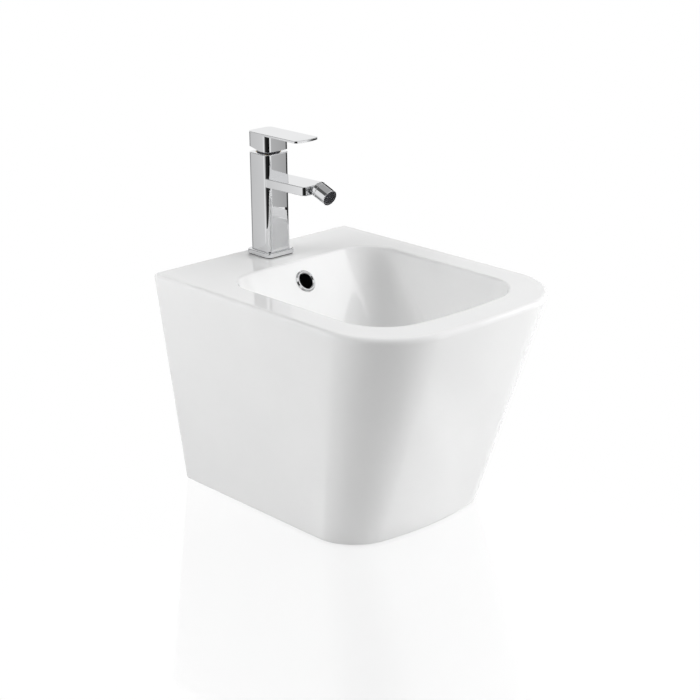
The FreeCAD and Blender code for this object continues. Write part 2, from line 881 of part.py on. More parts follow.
def lever_spindle():
    high = lever_low() + socket_depth
    half = spindle_size / 2
    low = ball_z()
    bar = box((-half, tap_y - half, pivot_z() - half), (half, tap_y + half, high))
    bar = bar.makeFillet(spindle_corner, upright_edges(bar))
    stem = cylinder(spindle_stem_diameter, low, pivot_z(), 0, tap_y)
    ball = Part.makeSphere(spindle_ball_diameter / 2, vec(0, tap_y, low))
    spindle = bar.fuse(stem).fuse(ball).removeSplitter()
    hole = Part.makeCylinder(pin_diameter / 2 + pin_gap, spindle_size + 2 * cut_past,
                             vec(-half - cut_past, tap_y, pivot_z()), x_axis)
    return spindle.cut(hole)


def lever_plate():
    rear = tap_y + column_size / 2
    tip = rear - lever_length
    half = column_size / 2
    high = lever_low() + lever_head_height
    low = high - lever_plate_thickness
    shoulder = tip + lever_tip_bulge
    edges = [edge_line((-half, rear, low), (-half, shoulder, low)),
             Part.Arc(vec(-half, shoulder, low), vec(0, tip, low), vec(half, shoulder, low)).toShape(),
             edge_line((half, shoulder, low), (half, rear, low)),
             edge_line((half, rear, low), (-half, rear, low))]
    plate = Part.Face(Part.Wire(edges)).extrude(vec(0, 0, lever_plate_thickness))
    front = [e for e in upright_edges(plate) if e.Vertexes[0].Y < tap_y]
    return plate.makeFillet(lever_tip_corner, front)


def upright_corner(edge, rear):
    first, last = edge.Vertexes[0], edge.Vertexes[-1]
    upright = abs(first.X - last.X) + abs(first.Y - last.Y) < 1e-6
    return upright and first.Y > rear - column_size - search_margin


def screw_z():
    return lever_low() + screw_above_lever_foot


def lever_blank():
    low = lever_low()
    high = low + lever_head_height
    rear = tap_y + column_size / 2
    head = box((-column_size / 2, rear - column_size, low), (column_size / 2, rear, high))
    blank = head.fuse(lever_plate()).removeSplitter()
    blank = blank.makeFillet(lever_corner, [e for e in blank.Edges if upright_corner(e, rear)])
    blank = blank.makeFillet(lever_edge_radius, level_edges(blank, high, lambda x, y: True))
    start = rear - lever_chamfer_length
    end = rear + lever_chamfer_length
    under = low - cut_past
    side = [(start, under), (start, low), (end, low + 2 * lever_chamfer_height), (end, under)]
    corners = [vec(-column_size, y, z) for y, z in side + side[:1]]
    return blank.cut(Part.Face(Part.makePolygon(corners)).extrude(vec(2 * column_size, 0, 0)))


def lever_handle():
    low = lever_low()
    rear = tap_y + column_size / 2
    half = spindle_size / 2 + fit_gap
    recess = cylinder(lever_recess_diameter, low - cut_past, low + lever_recess_depth, 0, tap_y)
    handle = lever_blank().cut(recess)
    socket_top = low + socket_depth + fit_gap
    handle = handle.cut(box((-half, tap_y - half, low - cut_past), (half, tap_y + half, socket_top)))
    screw_hole = grub_diameter / 2 + close_gap
    cover_hole = cover_diameter / 2 + close_gap
    cover_seat = rear - cover_thickness - fit_gap
    handle = handle.cut(Part.makeCylinder(screw_hole, column_size, vec(0, tap_y, screw_z()), y_axis))
    return handle.cut(Part.makeCylinder(cover_hole, column_size, vec(0, cover_seat, screw_z()), y_axis))


def lever_grub_screw():
    start = tap_y + spindle_size / 2 + close_gap
    return Part.makeCylinder(grub_diameter / 2, grub_length, vec(0, start, screw_z()), y_axis)


def screw_cover():
    start = tap_y + column_size / 2 - cover_thickness
    return Part.makeCylinder(cover_diameter / 2, cover_thickness, vec(0, start, screw_z()), y_axis)


def ball_centre():
    return spout_axis_point(ball_ahead_of_spout)


def ball_nipple():
    # Made along +Z with the ball's centre at zero, then aimed along the spout
    face = -ball_ahead_of_spout
    thread = cylinder(nipple_thread_diameter, face - nipple_thread_length, face)
    collar = cylinder(nipple_collar_diameter, face, face + nipple_collar_thickness)
    neck = cylinder(nipple_neck_diameter, face, 0)
    ball = Part.makeSphere(ball_diameter / 2)
    nipple = thread.fuse(collar).fuse(neck).fuse(ball).removeSplitter()
    nipple = nipple.cut(cylinder(nipple_bore, face - nipple_thread_length - cut_past, ball_diameter))
    return aimed(nipple, spout_rise_angle, ball_centre())


def aerator_piece(shape):
    return aimed(shape, -aerator_tilt_angle, ball_centre())


def seat_radius():
    return ball_diameter / 2 + running_gap + seat_thickness


def sphere_band(outer, inner, from_angle, to_angle):
    # Part of a round shell_thickness about the origin, between two angles from -Z
    def place(radius, angle):
        turn = math.radians(angle)
        return vec(radius * math.sin(turn), 0, -radius * math.cos(turn))

    middle = (from_angle + to_angle) / 2
    edges = [Part.Arc(place(outer, from_angle), place(outer, middle), place(outer, to_angle)).toShape(),
             Part.LineSegment(place(outer, to_angle), place(inner, to_angle)).toShape(),
             Part.Arc(place(inner, to_angle), place(inner, middle), place(inner, from_angle)).toShape(),
             Part.LineSegment(place(inner, from_angle), place(outer, from_angle)).toShape()]
    return Part.Face(Part.Wire(edges)).revolve(origin, z_axis, 360)


def swivel_seat():
    inner = ball_diameter / 2 + running_gap
    return aerator_piece(sphere_band(seat_radius(), inner, seat_from_angle, seat_to_angle))


def swivel_cap():
    low = -aerator_behind_ball
    high = swivel_cap_ahead_of_ball
    pocket = seat_radius() + running_gap
    mouth = pocket * math.sin(math.radians(mouth_angle))
    mouth_z = -pocket * math.cos(math.radians(mouth_angle))
    cap = cylinder(aerator_diameter, low, high)
    back = level_edges(cap, low, lambda x, y: True)
    cap = cap.makeFillet(aerator_back_radius, back)
    cap = cap.cut(Part.makeSphere(pocket))
    cap = cap.cut(cylinder(2 * pocket, 0, high + cut_past))
    flare = mouth + (mouth_z - low) * math.tan(math.radians(mouth_angle))
    return aerator_piece(cap.cut(Part.makeCone(flare, mouth, mouth_z - low, vec(0, 0, low))))


def aerator_housing():
    low = swivel_cap_ahead_of_ball
    high = aerator_ahead_of_ball
    bore = aerator_diameter - 2 * chamber_wall
    step = shoulder_from_ball + shoulder_thickness
    body = cylinder(aerator_diameter, low, high)
    body = body.makeFillet(aerator_front_radius, level_edges(body, high, lambda x, y: True))
    body = body.cut(cylinder(bore, low - cut_past, shoulder_from_ball))
    body = body.cut(through_cut(shoulder_bore, shoulder_from_ball, step))
    return aerator_piece(body.cut(cylinder(bore, step, high + cut_past)))


def aerator_washer():
    low = shoulder_from_ball + shoulder_thickness
    outer = aerator_diameter - 2 * chamber_wall - 2 * seal_gap
    return aerator_piece(ring(outer, shoulder_bore, low, low + washer_thickness))


def aerator_insert():
    low = shoulder_from_ball + shoulder_thickness + washer_thickness
    high = aerator_ahead_of_ball - insert_recess
    outer = aerator_diameter - 2 * chamber_wall - 2 * seal_gap
    inner = outer - 2 * insert_ring
    cup = ring(outer, inner, low, high)
    mesh = cylinder(inner + insert_ring, high - 2 * mesh_thickness, high - mesh_thickness)
    return aerator_piece(cup.fuse(mesh).removeSplitter())


makers = [
    ceramic_body, stud_sleeves, overflow_ring,
    waste_body, waste_top_seal, waste_cone_washer, waste_slip_washer, waste_back_nut,
    plug_cap, plug_seal, plug_spindle, plug_cartridge,
    tap_body, tap_base_plate, tap_base_seal, mounting_stud, horseshoe_gasket, horseshoe_washer, mounting_nut,
    cartridge_base, cartridge_seals, fixed_disc, moving_disc, cartridge_carrier, spindle_pin,
    cartridge_housing, retaining_nut, cartridge_collar,
    lever_spindle, lever_handle, lever_grub_screw, screw_cover,
    ball_nipple, swivel_seat, swivel_cap, aerator_housing, aerator_washer, aerator_insert,
]

os.makedirs("parts", exist_ok=True)
for make in makers:
    shape = make()
    shape.exportStep("parts/" + make.__name__ + ".step")
    sizes = shape.BoundBox
    print(make.__name__, "valid" if shape.isValid() else "not valid", len(shape.Solids), "solids",
          "volume", round(shape.Volume / 1000, 2), "cm3", "z", round(sizes.ZMin, 1), round(sizes.ZMax, 1))
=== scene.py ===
import json
import math
import bmesh
import bpy
from mathutils import Matrix, Vector


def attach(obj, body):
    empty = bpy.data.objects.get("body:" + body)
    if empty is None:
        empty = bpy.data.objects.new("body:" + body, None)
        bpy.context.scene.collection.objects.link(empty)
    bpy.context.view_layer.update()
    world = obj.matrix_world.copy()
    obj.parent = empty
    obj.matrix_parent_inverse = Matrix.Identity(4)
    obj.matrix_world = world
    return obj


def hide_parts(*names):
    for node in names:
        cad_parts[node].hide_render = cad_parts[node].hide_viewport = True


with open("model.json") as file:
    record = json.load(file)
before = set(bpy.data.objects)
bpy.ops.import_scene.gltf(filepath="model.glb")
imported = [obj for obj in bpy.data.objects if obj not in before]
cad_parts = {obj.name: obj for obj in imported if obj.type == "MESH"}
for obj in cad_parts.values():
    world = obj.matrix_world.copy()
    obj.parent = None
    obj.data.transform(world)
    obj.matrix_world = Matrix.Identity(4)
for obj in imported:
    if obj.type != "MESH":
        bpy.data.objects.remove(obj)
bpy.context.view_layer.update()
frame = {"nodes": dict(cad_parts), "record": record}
scene = bpy.context.scene
mm = 0.001
print("frame loaded:", len(frame["nodes"]), "nodes")


# camera, at the photo's viewing angle
photoView = {"place": (-1.4971, -1.8033, 0.7534), "look": (0.6445, 0.6894, -0.3308),
             "right": (0.7286, -0.6849, -0.0079), "lens": 87.313, "sensor": 36.0}


def makeCamera(v):
    data = bpy.data.cameras.new("photoCamera")
    data.lens = v["lens"]
    data.sensor_width = v["sensor"]
    cam = bpy.data.objects.new("photoCamera", data)
    scene.collection.objects.link(cam)
    look = Vector(v["look"]).normalized()
    right = Vector(v["right"])
    right = (right - look * right.dot(look)).normalized()
    turn = Matrix((right, right.cross(look), -look)).transposed()
    cam.matrix_world = Matrix.Translation(v["place"]) @ turn.to_4x4()
    scene.camera = cam


makeCamera(photoView)


# finishes: two tones, two roughness values, the grain's size and a bump
finishes = {
    "glaze": {"low": (0.885, 0.887, 0.887), "high": (0.908, 0.909, 0.908), "rough": (0.025, 0.05), "grain": 9,
              "bump": 0.012, "bumpGrain": 160},
    "bisque": {"low": (0.70, 0.68, 0.64), "high": (0.80, 0.78, 0.74), "rough": (0.55, 0.75), "grain": 70,
               "bump": 0.25, "bumpGrain": 420},
    # near black: painted shade for the inside of the overflow channel and the overflow hole
    "conduit": {"low": (0.035, 0.035, 0.036), "high": (0.06, 0.06, 0.06), "rough": (0.5, 0.7), "grain": 60,
                "bump": 0.1, "bumpGrain": 400},
    "chrome": {"low": (0.72, 0.725, 0.735), "high": (0.76, 0.765, 0.775), "rough": (0.0, 0.0), "grain": 14,
               "metal": 1.0},
    # near black chrome: painted shade for bores, recesses, the overflow sleeve, the sieve and the cartridge collar
    "darkChrome": {"low": (0.05, 0.05, 0.055), "high": (0.10, 0.10, 0.11), "rough": (0.25, 0.4), "grain": 120,
                   "metal": 1.0},
    "brass": {"low": (0.60, 0.44, 0.20), "high": (0.76, 0.58, 0.29), "rough": (0.22, 0.38), "grain": 60,
              "metal": 1.0, "lathe": 900, "bump": 0.06},
    "steel": {"low": (0.54, 0.55, 0.57), "high": (0.66, 0.67, 0.69), "rough": (0.24, 0.36), "grain": 180,
              "metal": 1.0, "stretch": (1, 9, 1), "bump": 0.03, "bumpGrain": 500},
    "rubber": {"low": (0.028, 0.028, 0.03), "high": (0.055, 0.055, 0.058), "rough": (0.5, 0.7), "grain": 90,
               "bump": 0.12, "bumpGrain": 900},
    "whitePlastic": {"low": (0.78, 0.78, 0.76), "high": (0.84, 0.84, 0.82), "rough": (0.35, 0.48), "grain": 60,
                     "bump": 0.03, "bumpGrain": 700},
    "greyPlastic": {"low": (0.42, 0.43, 0.45), "high": (0.48, 0.49, 0.51), "rough": (0.38, 0.5), "grain": 80,
                    "bump": 0.05, "bumpGrain": 800},
    "darkPlastic": {"low": (0.05, 0.05, 0.056), "high": (0.10, 0.10, 0.11), "rough": (0.28, 0.42), "grain": 150,
                    "bump": 0.04, "bumpGrain": 900},
    "discCeramic": {"low": (0.86, 0.85, 0.82), "high": (0.92, 0.91, 0.88), "rough": (0.1, 0.18), "grain": 200},
}
grain = {"span": (0.3, 0.7), "detail": 5, "bumpDepth": 0.0004, "latheWobble": 0.6}


def makeFinish(name, f):
    mat = bpy.data.materials.new(name)
    mat.use_nodes = True
    tree = mat.node_tree
    add, link = tree.nodes.new, tree.links.new
    shader = tree.nodes["Principled BSDF"]
    shader.inputs["Metallic"].default_value = f.get("metal", 0.0)
    coords = add("ShaderNodeTexCoord")
    mapping = add("ShaderNodeMapping")
    mapping.inputs["Scale"].default_value = f.get("stretch", (1, 1, 1))
    link(coords.outputs["Object"], mapping.inputs["Vector"])
    cloud = add("ShaderNodeTexNoise")
    cloud.inputs["Scale"].default_value = f["grain"]
    cloud.inputs["Detail"].default_value = grain["detail"]
    link(mapping.outputs[0], cloud.inputs["Vector"])
    tones = add("ShaderNodeValToRGB")
    for end, tone, place in zip(tones.color_ramp.elements, (f["low"], f["high"]), grain["span"]):
        end.position = place
        end.color = (*tone, 1)
    link(cloud.outputs["Fac"], tones.inputs["Fac"])
    link(tones.outputs["Color"], shader.inputs["Base Color"])
    low, high = f["rough"]
    shader.inputs["Roughness"].default_value = low
    if low != high:                                          # an even roughness stays on the socket
        gloss = add("ShaderNodeMapRange")
        for socket, value in zip(("From Min", "From Max", "To Min", "To Max"), (*grain["span"], low, high)):
            gloss.inputs[socket].default_value = value
        link(cloud.outputs["Fac"], gloss.inputs["Value"])
        link(gloss.outputs["Result"], shader.inputs["Roughness"])
    if "bump" in f:
        if "lathe" in f:                                     # turning marks round the upright axis
            relief = add("ShaderNodeTexWave")
            relief.bands_direction = "Z"
            relief.inputs["Scale"].default_value = f["lathe"]
            relief.inputs["Distortion"].default_value = grain["latheWobble"]
        else:
            relief = add("ShaderNodeTexNoise")
            relief.inputs["Scale"].default_value = f["bumpGrain"]
        link(mapping.outputs[0], relief.inputs["Vector"])
        bump = add("ShaderNodeBump")
        bump.inputs["Strength"].default_value = f["bump"]
        bump.inputs["Distance"].default_value = grain["bumpDepth"]
        link(relief.outputs["Fac"], bump.inputs["Height"])
        link(bump.outputs["Normal"], shader.inputs["Normal"])
    return mat


finish = {name: makeFinish(name, f) for name, f in finishes.items()}
slotFinish = {"glaze": "glaze", "chrome": "chrome", "brass": "brass", "steel": "steel", "rubber": "rubber",
              "white_plastic": "whitePlastic", "grey_plastic": "greyPlastic", "dark_plastic": "darkPlastic",
              "disc_ceramic": "discCeramic"}
nodeSlot = {part["node"]: part["material_slot"] for part in frame["record"]["subparts"]}
nodeBody = {node: body for body, nodes in frame["record"]["behaviour"]["bodies"].items() for node in nodes}
print("finishes made:", len(finish))


# mesh helpers: outlines run clockwise seen from above, sizes are in mm
def newObject(name, points, faces, looks, looksIndex=0, turned=False):
    mesh = bpy.data.meshes.new(name)
    mesh.from_pydata([(x * mm, y * mm, z * mm) for x, y, z in points], [], faces)
    shape = bmesh.new()
    shape.from_mesh(mesh)
    bmesh.ops.remove_doubles(shape, verts=shape.verts, dist=1e-7)
    if turned:                                               # faces that meet the axis lose a side
        bmesh.ops.dissolve_degenerate(shape, edges=shape.edges, dist=1e-8)
    bmesh.ops.recalc_face_normals(shape, faces=shape.faces)
    shape.to_mesh(mesh)
    shape.free()
    for look in looks:
        mesh.materials.append(finish[look])
    for face in mesh.polygons:
        face.material_index = looksIndex
    thing = bpy.data.objects.new(name, mesh)
    scene.collection.objects.link(thing)
    return thing


def stackRings(name, rings, looks, looksIndex=0):
    count = len(rings[0])
    points = [point for ring in rings for point in ring]
    faces = []
    for k in range(len(rings) - 1):
        for i in range(count):
            j = (i + 1) % count
            faces.append((k * count + i, (k + 1) * count + i, (k + 1) * count + j, k * count + j))
    faces.append(tuple(range(count)))
    last = (len(rings) - 1) * count
    faces.append(tuple(last + i for i in reversed(range(count))))
    return newObject(name, points, faces, looks, looksIndex)


def arcRun(cx, cy, radius, start, end, steps):
    run = []
    for i in range(steps):
        a = start + (end - start) * i / steps
        run.append((cx + radius * math.cos(a), cy + radius * math.sin(a), math.cos(a), math.sin(a)))
    return run


def lineRun(start, end, steps):
    dx, dy = end[0] - start[0], end[1] - start[1]
    length = max(math.hypot(dx, dy), 1e-9)
    return [(start[0] + dx * i / steps, start[1] + dy * i / steps, -dy / length, dx / length)
            for i in range(steps)]


def bowedOutline(half, rear, front, rearCorner, corner, bow, steps):
    lean = math.asin((half - corner) / (bow - corner))
    bowY = front + bow
    cornerY = bowY - (bow - corner) * math.cos(lean)
    end = -math.pi / 2 + lean
    run = lineRun((rearCorner - half, rear), (half - rearCorner, rear), steps["rear"])
    run += arcRun(half - rearCorner, rear - rearCorner, rearCorner, math.pi / 2, 0, steps["rearCorner"])
    run += lineRun((half, rear - rearCorner), (half, cornerY), steps["side"])
    run += arcRun(half - corner, cornerY, corner, 0, end, steps["corner"])
    run += arcRun(0, bowY, bow, end, -math.pi - end, steps["bow"])
    run += arcRun(corner - half, cornerY, corner, -math.pi - end, -math.pi, steps["corner"])
    run += lineRun((-half, cornerY), (-half, rear - rearCorner), steps["side"])
    run += arcRun(rearCorner - half, rear - rearCorner, rearCorner, math.pi, math.pi / 2, steps["rearCorner"])
    return run


def edgedPrism(name, outline, low, high, edgeLow, edgeHigh, looks, steps=5):
    rings = []
    for i in range(steps + 1):
        a = math.pi / 2 * i / steps
        rings.append([(x - nx * edgeLow * (1 - math.sin(a)), y - ny * edgeLow * (1 - math.sin(a)),
                       low + edgeLow * (1 - math.cos(a))) for x, y, nx, ny in outline])
    for i in range(steps + 1):
        a = math.pi / 2 * i / steps
        rings.append([(x - nx * edgeHigh * (1 - math.cos(a)), y - ny * edgeHigh * (1 - math.cos(a)),
                       high - edgeHigh * (1 - math.sin(a))) for x, y, nx, ny in outline])
    return stackRings(name, rings, looks)


def squareOutline(size, corner, x, y, cornerSteps=14):
    reach = size / 2 - corner
    run = []
    for k in range(4):
        start = math.pi / 2 * (1 - k)
        end = start - math.pi / 2
        cx = x + reach * (1 if k in (0, 1) else -1)
        cy = y + reach * (1 if k in (0, 3) else -1)
        run += arcRun(cx, cy, corner, start, end, cornerSteps)
        run.append((cx + corner * math.cos(end), cy + corner * math.sin(end), math.cos(end), math.sin(end)))
    return run


def turnedPiece(name, profile, looks, steps=96, looksIndex=0):
    count = len(profile)
    points, faces = [], []
    for i in range(steps):
        a = 2 * math.pi * i / steps
        points += [(r * math.cos(a), r * math.sin(a), z) for r, z in profile]
    for i in range(steps):
        j = (i + 1) % steps
        for k in range(count):
            m = (k + 1) % count
            if profile[k][0] < 1e-6 and profile[m][0] < 1e-6:
                continue
            faces.append((i * count + k, j * count + k, j * count + m, i * count + m))
    return newObject(name, points, faces, looks, looksIndex, turned=True)


def roundedProfile(corners, steps=6):
    # closed (radius, z) corners, each with its own rounding
    out = []
    count = len(corners)
    for k in range(count):
        r, z, rounding = corners[k]
        if rounding <= 0:
            out.append((r, z))
            continue
        before = Vector(corners[k - 1][:2])
        after = Vector(corners[(k + 1) % count][:2])
        here = Vector((r, z))
        inward, outward = (before - here).normalized(), (after - here).normalized()
        angle = inward.angle(outward)
        reach = rounding / math.tan(angle / 2)
        centre = here + (inward + outward).normalized() * (rounding / math.sin(angle / 2))
        start, end = here + inward * reach - centre, here + outward * reach - centre
        sweep = start.angle_signed(end)
        for i in range(steps + 1):
            a = -sweep * i / steps
            out.append((centre.x + start.x * math.cos(a) - start.y * math.sin(a),
                        centre.y + start.x * math.sin(a) + start.y * math.cos(a)))
    return out


def aim(thing, elevation, place):
    # takes a piece made along +Z to the front, raised by elevation
    turn = Matrix.Rotation(math.radians(90 - elevation), 4, "X")
    thing.data.transform(Matrix.Translation(Vector(place) * mm) @ turn)
    return thing


def move(thing, x, y, z):
    thing.data.transform(Matrix.Translation(Vector((x, y, z)) * mm))
    return thing


def carve(target, cutter, operation="DIFFERENCE"):
    tool = target.modifiers.new("carve", "BOOLEAN")
    tool.operation = operation
    tool.solver = "EXACT"
    tool.object = cutter
    bpy.context.view_layer.update()
    cut = bpy.data.meshes.new_from_object(target.evaluated_get(bpy.context.evaluated_depsgraph_get()))
    target.modifiers.clear()
    target.data = cut
    bpy.data.objects.remove(cutter)
    return target


def boxCutter(low, high, looks, looksIndex=0):
    x0, y0, z0 = low
    x1, y1, z1 = high
    ring = [(x0, y1), (x1, y1), (x1, y0), (x0, y0)]
    return stackRings("boxCutter", [[(x, y, z) for x, y in ring] for z in (z0, z1)], looks, looksIndex)


def rodCutter(radius, low, high, x, y, looks, looksIndex=0, steps=96):
    rod = turnedPiece("rodCutter", [(0, low), (radius, low), (radius, high), (0, high)], looks, steps, looksIndex)
    return move(rod, x, y, 0)


def dress(thing, nodes, slot, sharp=32):
    mesh = thing.data
    for face in mesh.polygons:
        face.use_smooth = True
    mesh.set_sharp_from_angle(angle=math.radians(sharp))
    even = thing.modifiers.new("evenNormals", "WEIGHTED_NORMAL")
    even.keep_sharp = True
    even.weight = 50
    thing.visible_diffuse = slot != "chrome"                 # no light patches thrown on the glaze
    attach(thing, nodeBody[nodes[0]])
    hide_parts(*nodes)
    return thing


# ceramic body: one skin from the foot over the rim into the basin, then hollowed from below
# the third finish, near black, is painted shade for the channel's inside
ceramicLooks = ("glaze", "bisque", "conduit")
ceramic = {
    "rim": {"half": 180.0, "front": -460.0, "corner": 106.0, "bow": 1160.0, "z": 90.0, "edge": 6.0},
    "foot": {"half": 138.0, "front": -358.0, "corner": 68.0, "bow": 436.0, "z": -226.0, "edge": 5.0},
    "planCorner": 8.0,
    "basinRim": {"half": 135.0, "rear": -95.0, "front": -409.0, "rearCorner": 52.0, "corner": 68.0, "bow": 700.0},
    "drafts": {"side": 8.0, "rear": 34.0, "front": 12.0}, "floorZ": -60.0, "floorRound": 45.0, "lipRound": 4.5,
    "drain": -272.0, "dish": (50.0, 34.0, 6.0), "shell": 11.0, "floorWall": 16.0, "backWall": 14.0,
    "deckUnder": 76.0, "boss": (35.0, -112.0), "wasteHole": 23.0, "tapHole": (17.5, -40.0),
    "overflow": {"y": -112.5372, "z": 64.0, "radius": 12.1, "depth": 18.0},
    "studs": (90.0, 9.9), "pad": (23.0, 24.0), "window": (70.0, -45.0),
    "channel": {"half": 13.0, "wall": 8.0,
                "way": ((-95.998, 68.849), (-84.392, 61.020), (-186.256, -90.0), (-272.0, -90.0),
                        (-272.0, -76.0), (-193.700, -76.0)),
                "block": ((-99.722, 83.0), (-72.363, 64.547), (-182.002, -98.0), (-272.0, -98.0),
                          (-272.0, -60.0), (-196.176, -60.0))},
    "steps": {"rear": 40, "rearCorner": 20, "side": 56, "corner": 36, "bow": 60},
}


def leanOf(low, high, normal, drop):
    return math.atan(((high[0] - low[0]) * normal[0] + (high[1] - low[1]) * normal[1]) / drop)


def filletRing(point, lean, radius, z, side, up, angle):
    # side -1 or 1 is where the centre lies along the normal, up is the centre's height sign
    x, y, nx, ny = point
    reach = radius / math.tan((math.pi / 2 + lean) / 2)
    cx, cy = x + nx * side * reach, y + ny * side * reach
    return (cx + nx * radius * math.cos(angle), cy + ny * radius * math.cos(angle),
            z + up * radius + radius * math.sin(angle))


def basinRun(c, z, grow=0.0):
    b, d = c["basinRim"], c["drafts"]
    drop = c["rim"]["z"] - z
    return bowedOutline(b["half"] - drop * math.tan(math.radians(d["side"])) + grow,
                        b["rear"] - drop * math.tan(math.radians(d["rear"])) + grow,
                        b["front"] + drop * math.tan(math.radians(d["front"])) - grow,
                        b["rearCorner"] + grow, b["corner"] + grow, b["bow"], c["steps"])


def lerpRings(first, last, shares):
    return [[tuple(p[k] + (q[k] - p[k]) * s for k in range(3)) for p, q in zip(first, last)] for s in shares]


def basinRings(c, grow, floorZ, floorRound, lip):
    # from the lip down the wall to the flat floor
    rimZ = c["rim"]["z"]
    top, low = basinRun(c, rimZ, grow), basinRun(c, floorZ, grow)
    drop = rimZ - floorZ
    leanTop = [leanOf(q, p, p[2:], drop) for p, q in zip(top, low)]
    leanLow = [leanOf(q, p, q[2:], drop) for p, q in zip(top, low)]
    rings = []
    if lip:
        for i in range(10):
            rings.append([filletRing(p, a, lip, rimZ, 1, -1, math.pi / 2 + (math.pi / 2 - a) * i / 9)
                          for p, a in zip(top, leanTop)])
    else:
        rings.append([(p[0], p[1], rimZ + 4) for p in top])
        rings.append([(p[0], p[1], rimZ) for p in top])
    bend = []
    for i in range(15):
        bend.append([filletRing(p, a, floorRound, floorZ, -1, 1, -a - (math.pi / 2 - a) * i / 14)
                     for p, a in zip(low, leanLow)])
    rings += lerpRings(rings[-1], bend[0], (0.012, 0.2, 0.4, 0.6, 0.8, 0.985))
    return rings + bend


def ceramicSkin(c):
    rim, foot, steps = c["rim"], c["foot"], c["steps"]
    top = bowedOutline(rim["half"], 0.0, rim["front"], c["planCorner"], rim["corner"], rim["bow"], steps)
    low = bowedOutline(foot["half"], 0.0, foot["front"], c["planCorner"], foot["corner"], foot["bow"], steps)
    height = rim["z"] - foot["z"]
    rings = []
    for i in range(7):
        ring = []
        for p, q in zip(low, top):
            a = leanOf(p, q, p[2:], height)
            ring.append(filletRing(p, a, foot["edge"], foot["z"], -1, 1, -math.pi / 2 + (math.pi / 2 - a) * i / 6))
        rings.append(ring)
    shoulder = []
    for i in range(13):
        ring = []
        for p, q in zip(low, top):
            a = leanOf(p, q, q[2:], height)
            ring.append(filletRing(q, -a, rim["edge"], rim["z"], -1, -1, -a + (math.pi / 2 + a) * i / 12))
        shoulder.append(ring)
    rings += lerpRings(rings[-1], shoulder[0], (0.006, 0.15, 0.3, 0.45, 0.6, 0.75, 0.9, 0.994))
    rings += shoulder
    bowl = basinRings(c, 0.0, c["floorZ"], c["floorRound"], c["lipRound"])
    rings += lerpRings(rings[-1], bowl[0], (0.03, 0.35, 0.68, 0.97))
    rings += bowl
    outer, inner, deep = c["dish"]
    around = []
    for x, y, z in rings[-1]:
        a = math.atan2(y - c["drain"], x)
        around.append((math.cos(a), math.sin(a)))
    for radius, z in ((outer + 1.5, 0), (outer, -0.12), (outer - 1.5, -0.6), (inner + 1, 0.3 - deep),
                      (inner, -deep), (inner - 1, -deep)):
        rings.append([(radius * ca, c["drain"] + radius * sa, c["floorZ"] + z) for ca, sa in around])
    return stackRings("ceramicBody", rings, ceramicLooks)


def sidePrism(name, side, half, looks, looksIndex=0):
    # an outline in the upright middle plane, drawn out to both sides
    points = [(x, y, z) for x in (-half, half) for y, z in side]
    count = len(side)
    faces = [(i, (i + 1) % count, count + (i + 1) % count, count + i) for i in range(count)]
    faces += [tuple(range(count)), tuple(reversed(range(count, 2 * count)))]
    return newObject(name, points, faces, looks, looksIndex)


def hollowCutter(c):
    rim, foot, shell, looks = c["rim"], c["foot"], c["shell"], ceramicLooks
    rings = []
    for z in (foot["z"] - 6.0, c["deckUnder"]):
        share = (z - foot["z"]) / (rim["z"] - foot["z"])
        size = {k: foot[k] + (rim[k] - foot[k]) * share for k in ("half", "front", "corner", "bow")}
        run = bowedOutline(size["half"] - shell, -c["backWall"], size["front"] + shell, 4.0,
                           size["corner"] - shell, size["bow"] - shell, c["steps"])
        rings.append([(p[0], p[1], z) for p in run])
    hollow = stackRings("hollow", rings, looks, 1)
    under = c["floorZ"] - c["floorWall"]
    bowl = stackRings("bowl", basinRings(c, shell, under, c["floorRound"] + shell, 0), looks, 1)
    carve(hollow, bowl)
    carve(hollow, rodCutter(c["boss"][0], c["boss"][1], c["floorZ"], 0, c["drain"], looks, 1))
    channel = c["channel"]
    carve(hollow, sidePrism("block", channel["block"], channel["half"] + channel["wall"], looks, 1))
    reach, depth = c["pad"]
    for x in (-c["studs"][0], c["studs"][0]):
        carve(hollow, boxCutter((x - reach, -depth, -reach), (x + reach, 2, reach), looks, 1))
    return hollow


def makeCeramic(c):
    looks = ceramicLooks
    body = ceramicSkin(c)
    carve(body, hollowCutter(c))
    # the channel's cut walls take the third finish, near black: painted shade
    carve(body, sidePrism("way", c["channel"]["way"], c["channel"]["half"], looks, 2))
    carve(body, rodCutter(c["wasteHole"], c["boss"][1] - 2, c["floorZ"] + 2, 0, c["drain"], looks, 1))
    carve(body, rodCutter(c["tapHole"][0], c["deckUnder"] - 2, c["rim"]["z"] + 2, 0, c["tapHole"][1], looks, 1))
    # the overflow hole's cut walls take the near black painted shade finish too
    o = c["overflow"]
    carve(body, aim(rodCutter(o["radius"], -o["depth"], 11, 0, 0, looks, 2), c["drafts"]["rear"],
                    (0, o["y"], o["z"])))
    for x in (-c["studs"][0], c["studs"][0]):
        hole = rodCutter(c["studs"][1], -2, 30, 0, 0, looks, 1, 64)
        carve(body, aim(hole, 0, (x, 0, 0)))
    half, high = c["window"]
    carve(body, boxCutter((-half, -c["backWall"] - 1, c["foot"]["z"] - 2), (half, 2, high), looks, 1))
    for face in body.data.polygons:                          # the wall side and the foot stay unglazed
        if face.normal.y > 0.99 and face.center.y > -1.5 * mm:
            face.material_index = 1
        if face.normal.z < -0.99 and face.center.z < (c["foot"]["z"] + 0.5) * mm:
            face.material_index = 1
    return dress(body, ["ceramic_body"], "glaze")


makeCeramic(ceramic)
print("ceramic body made")


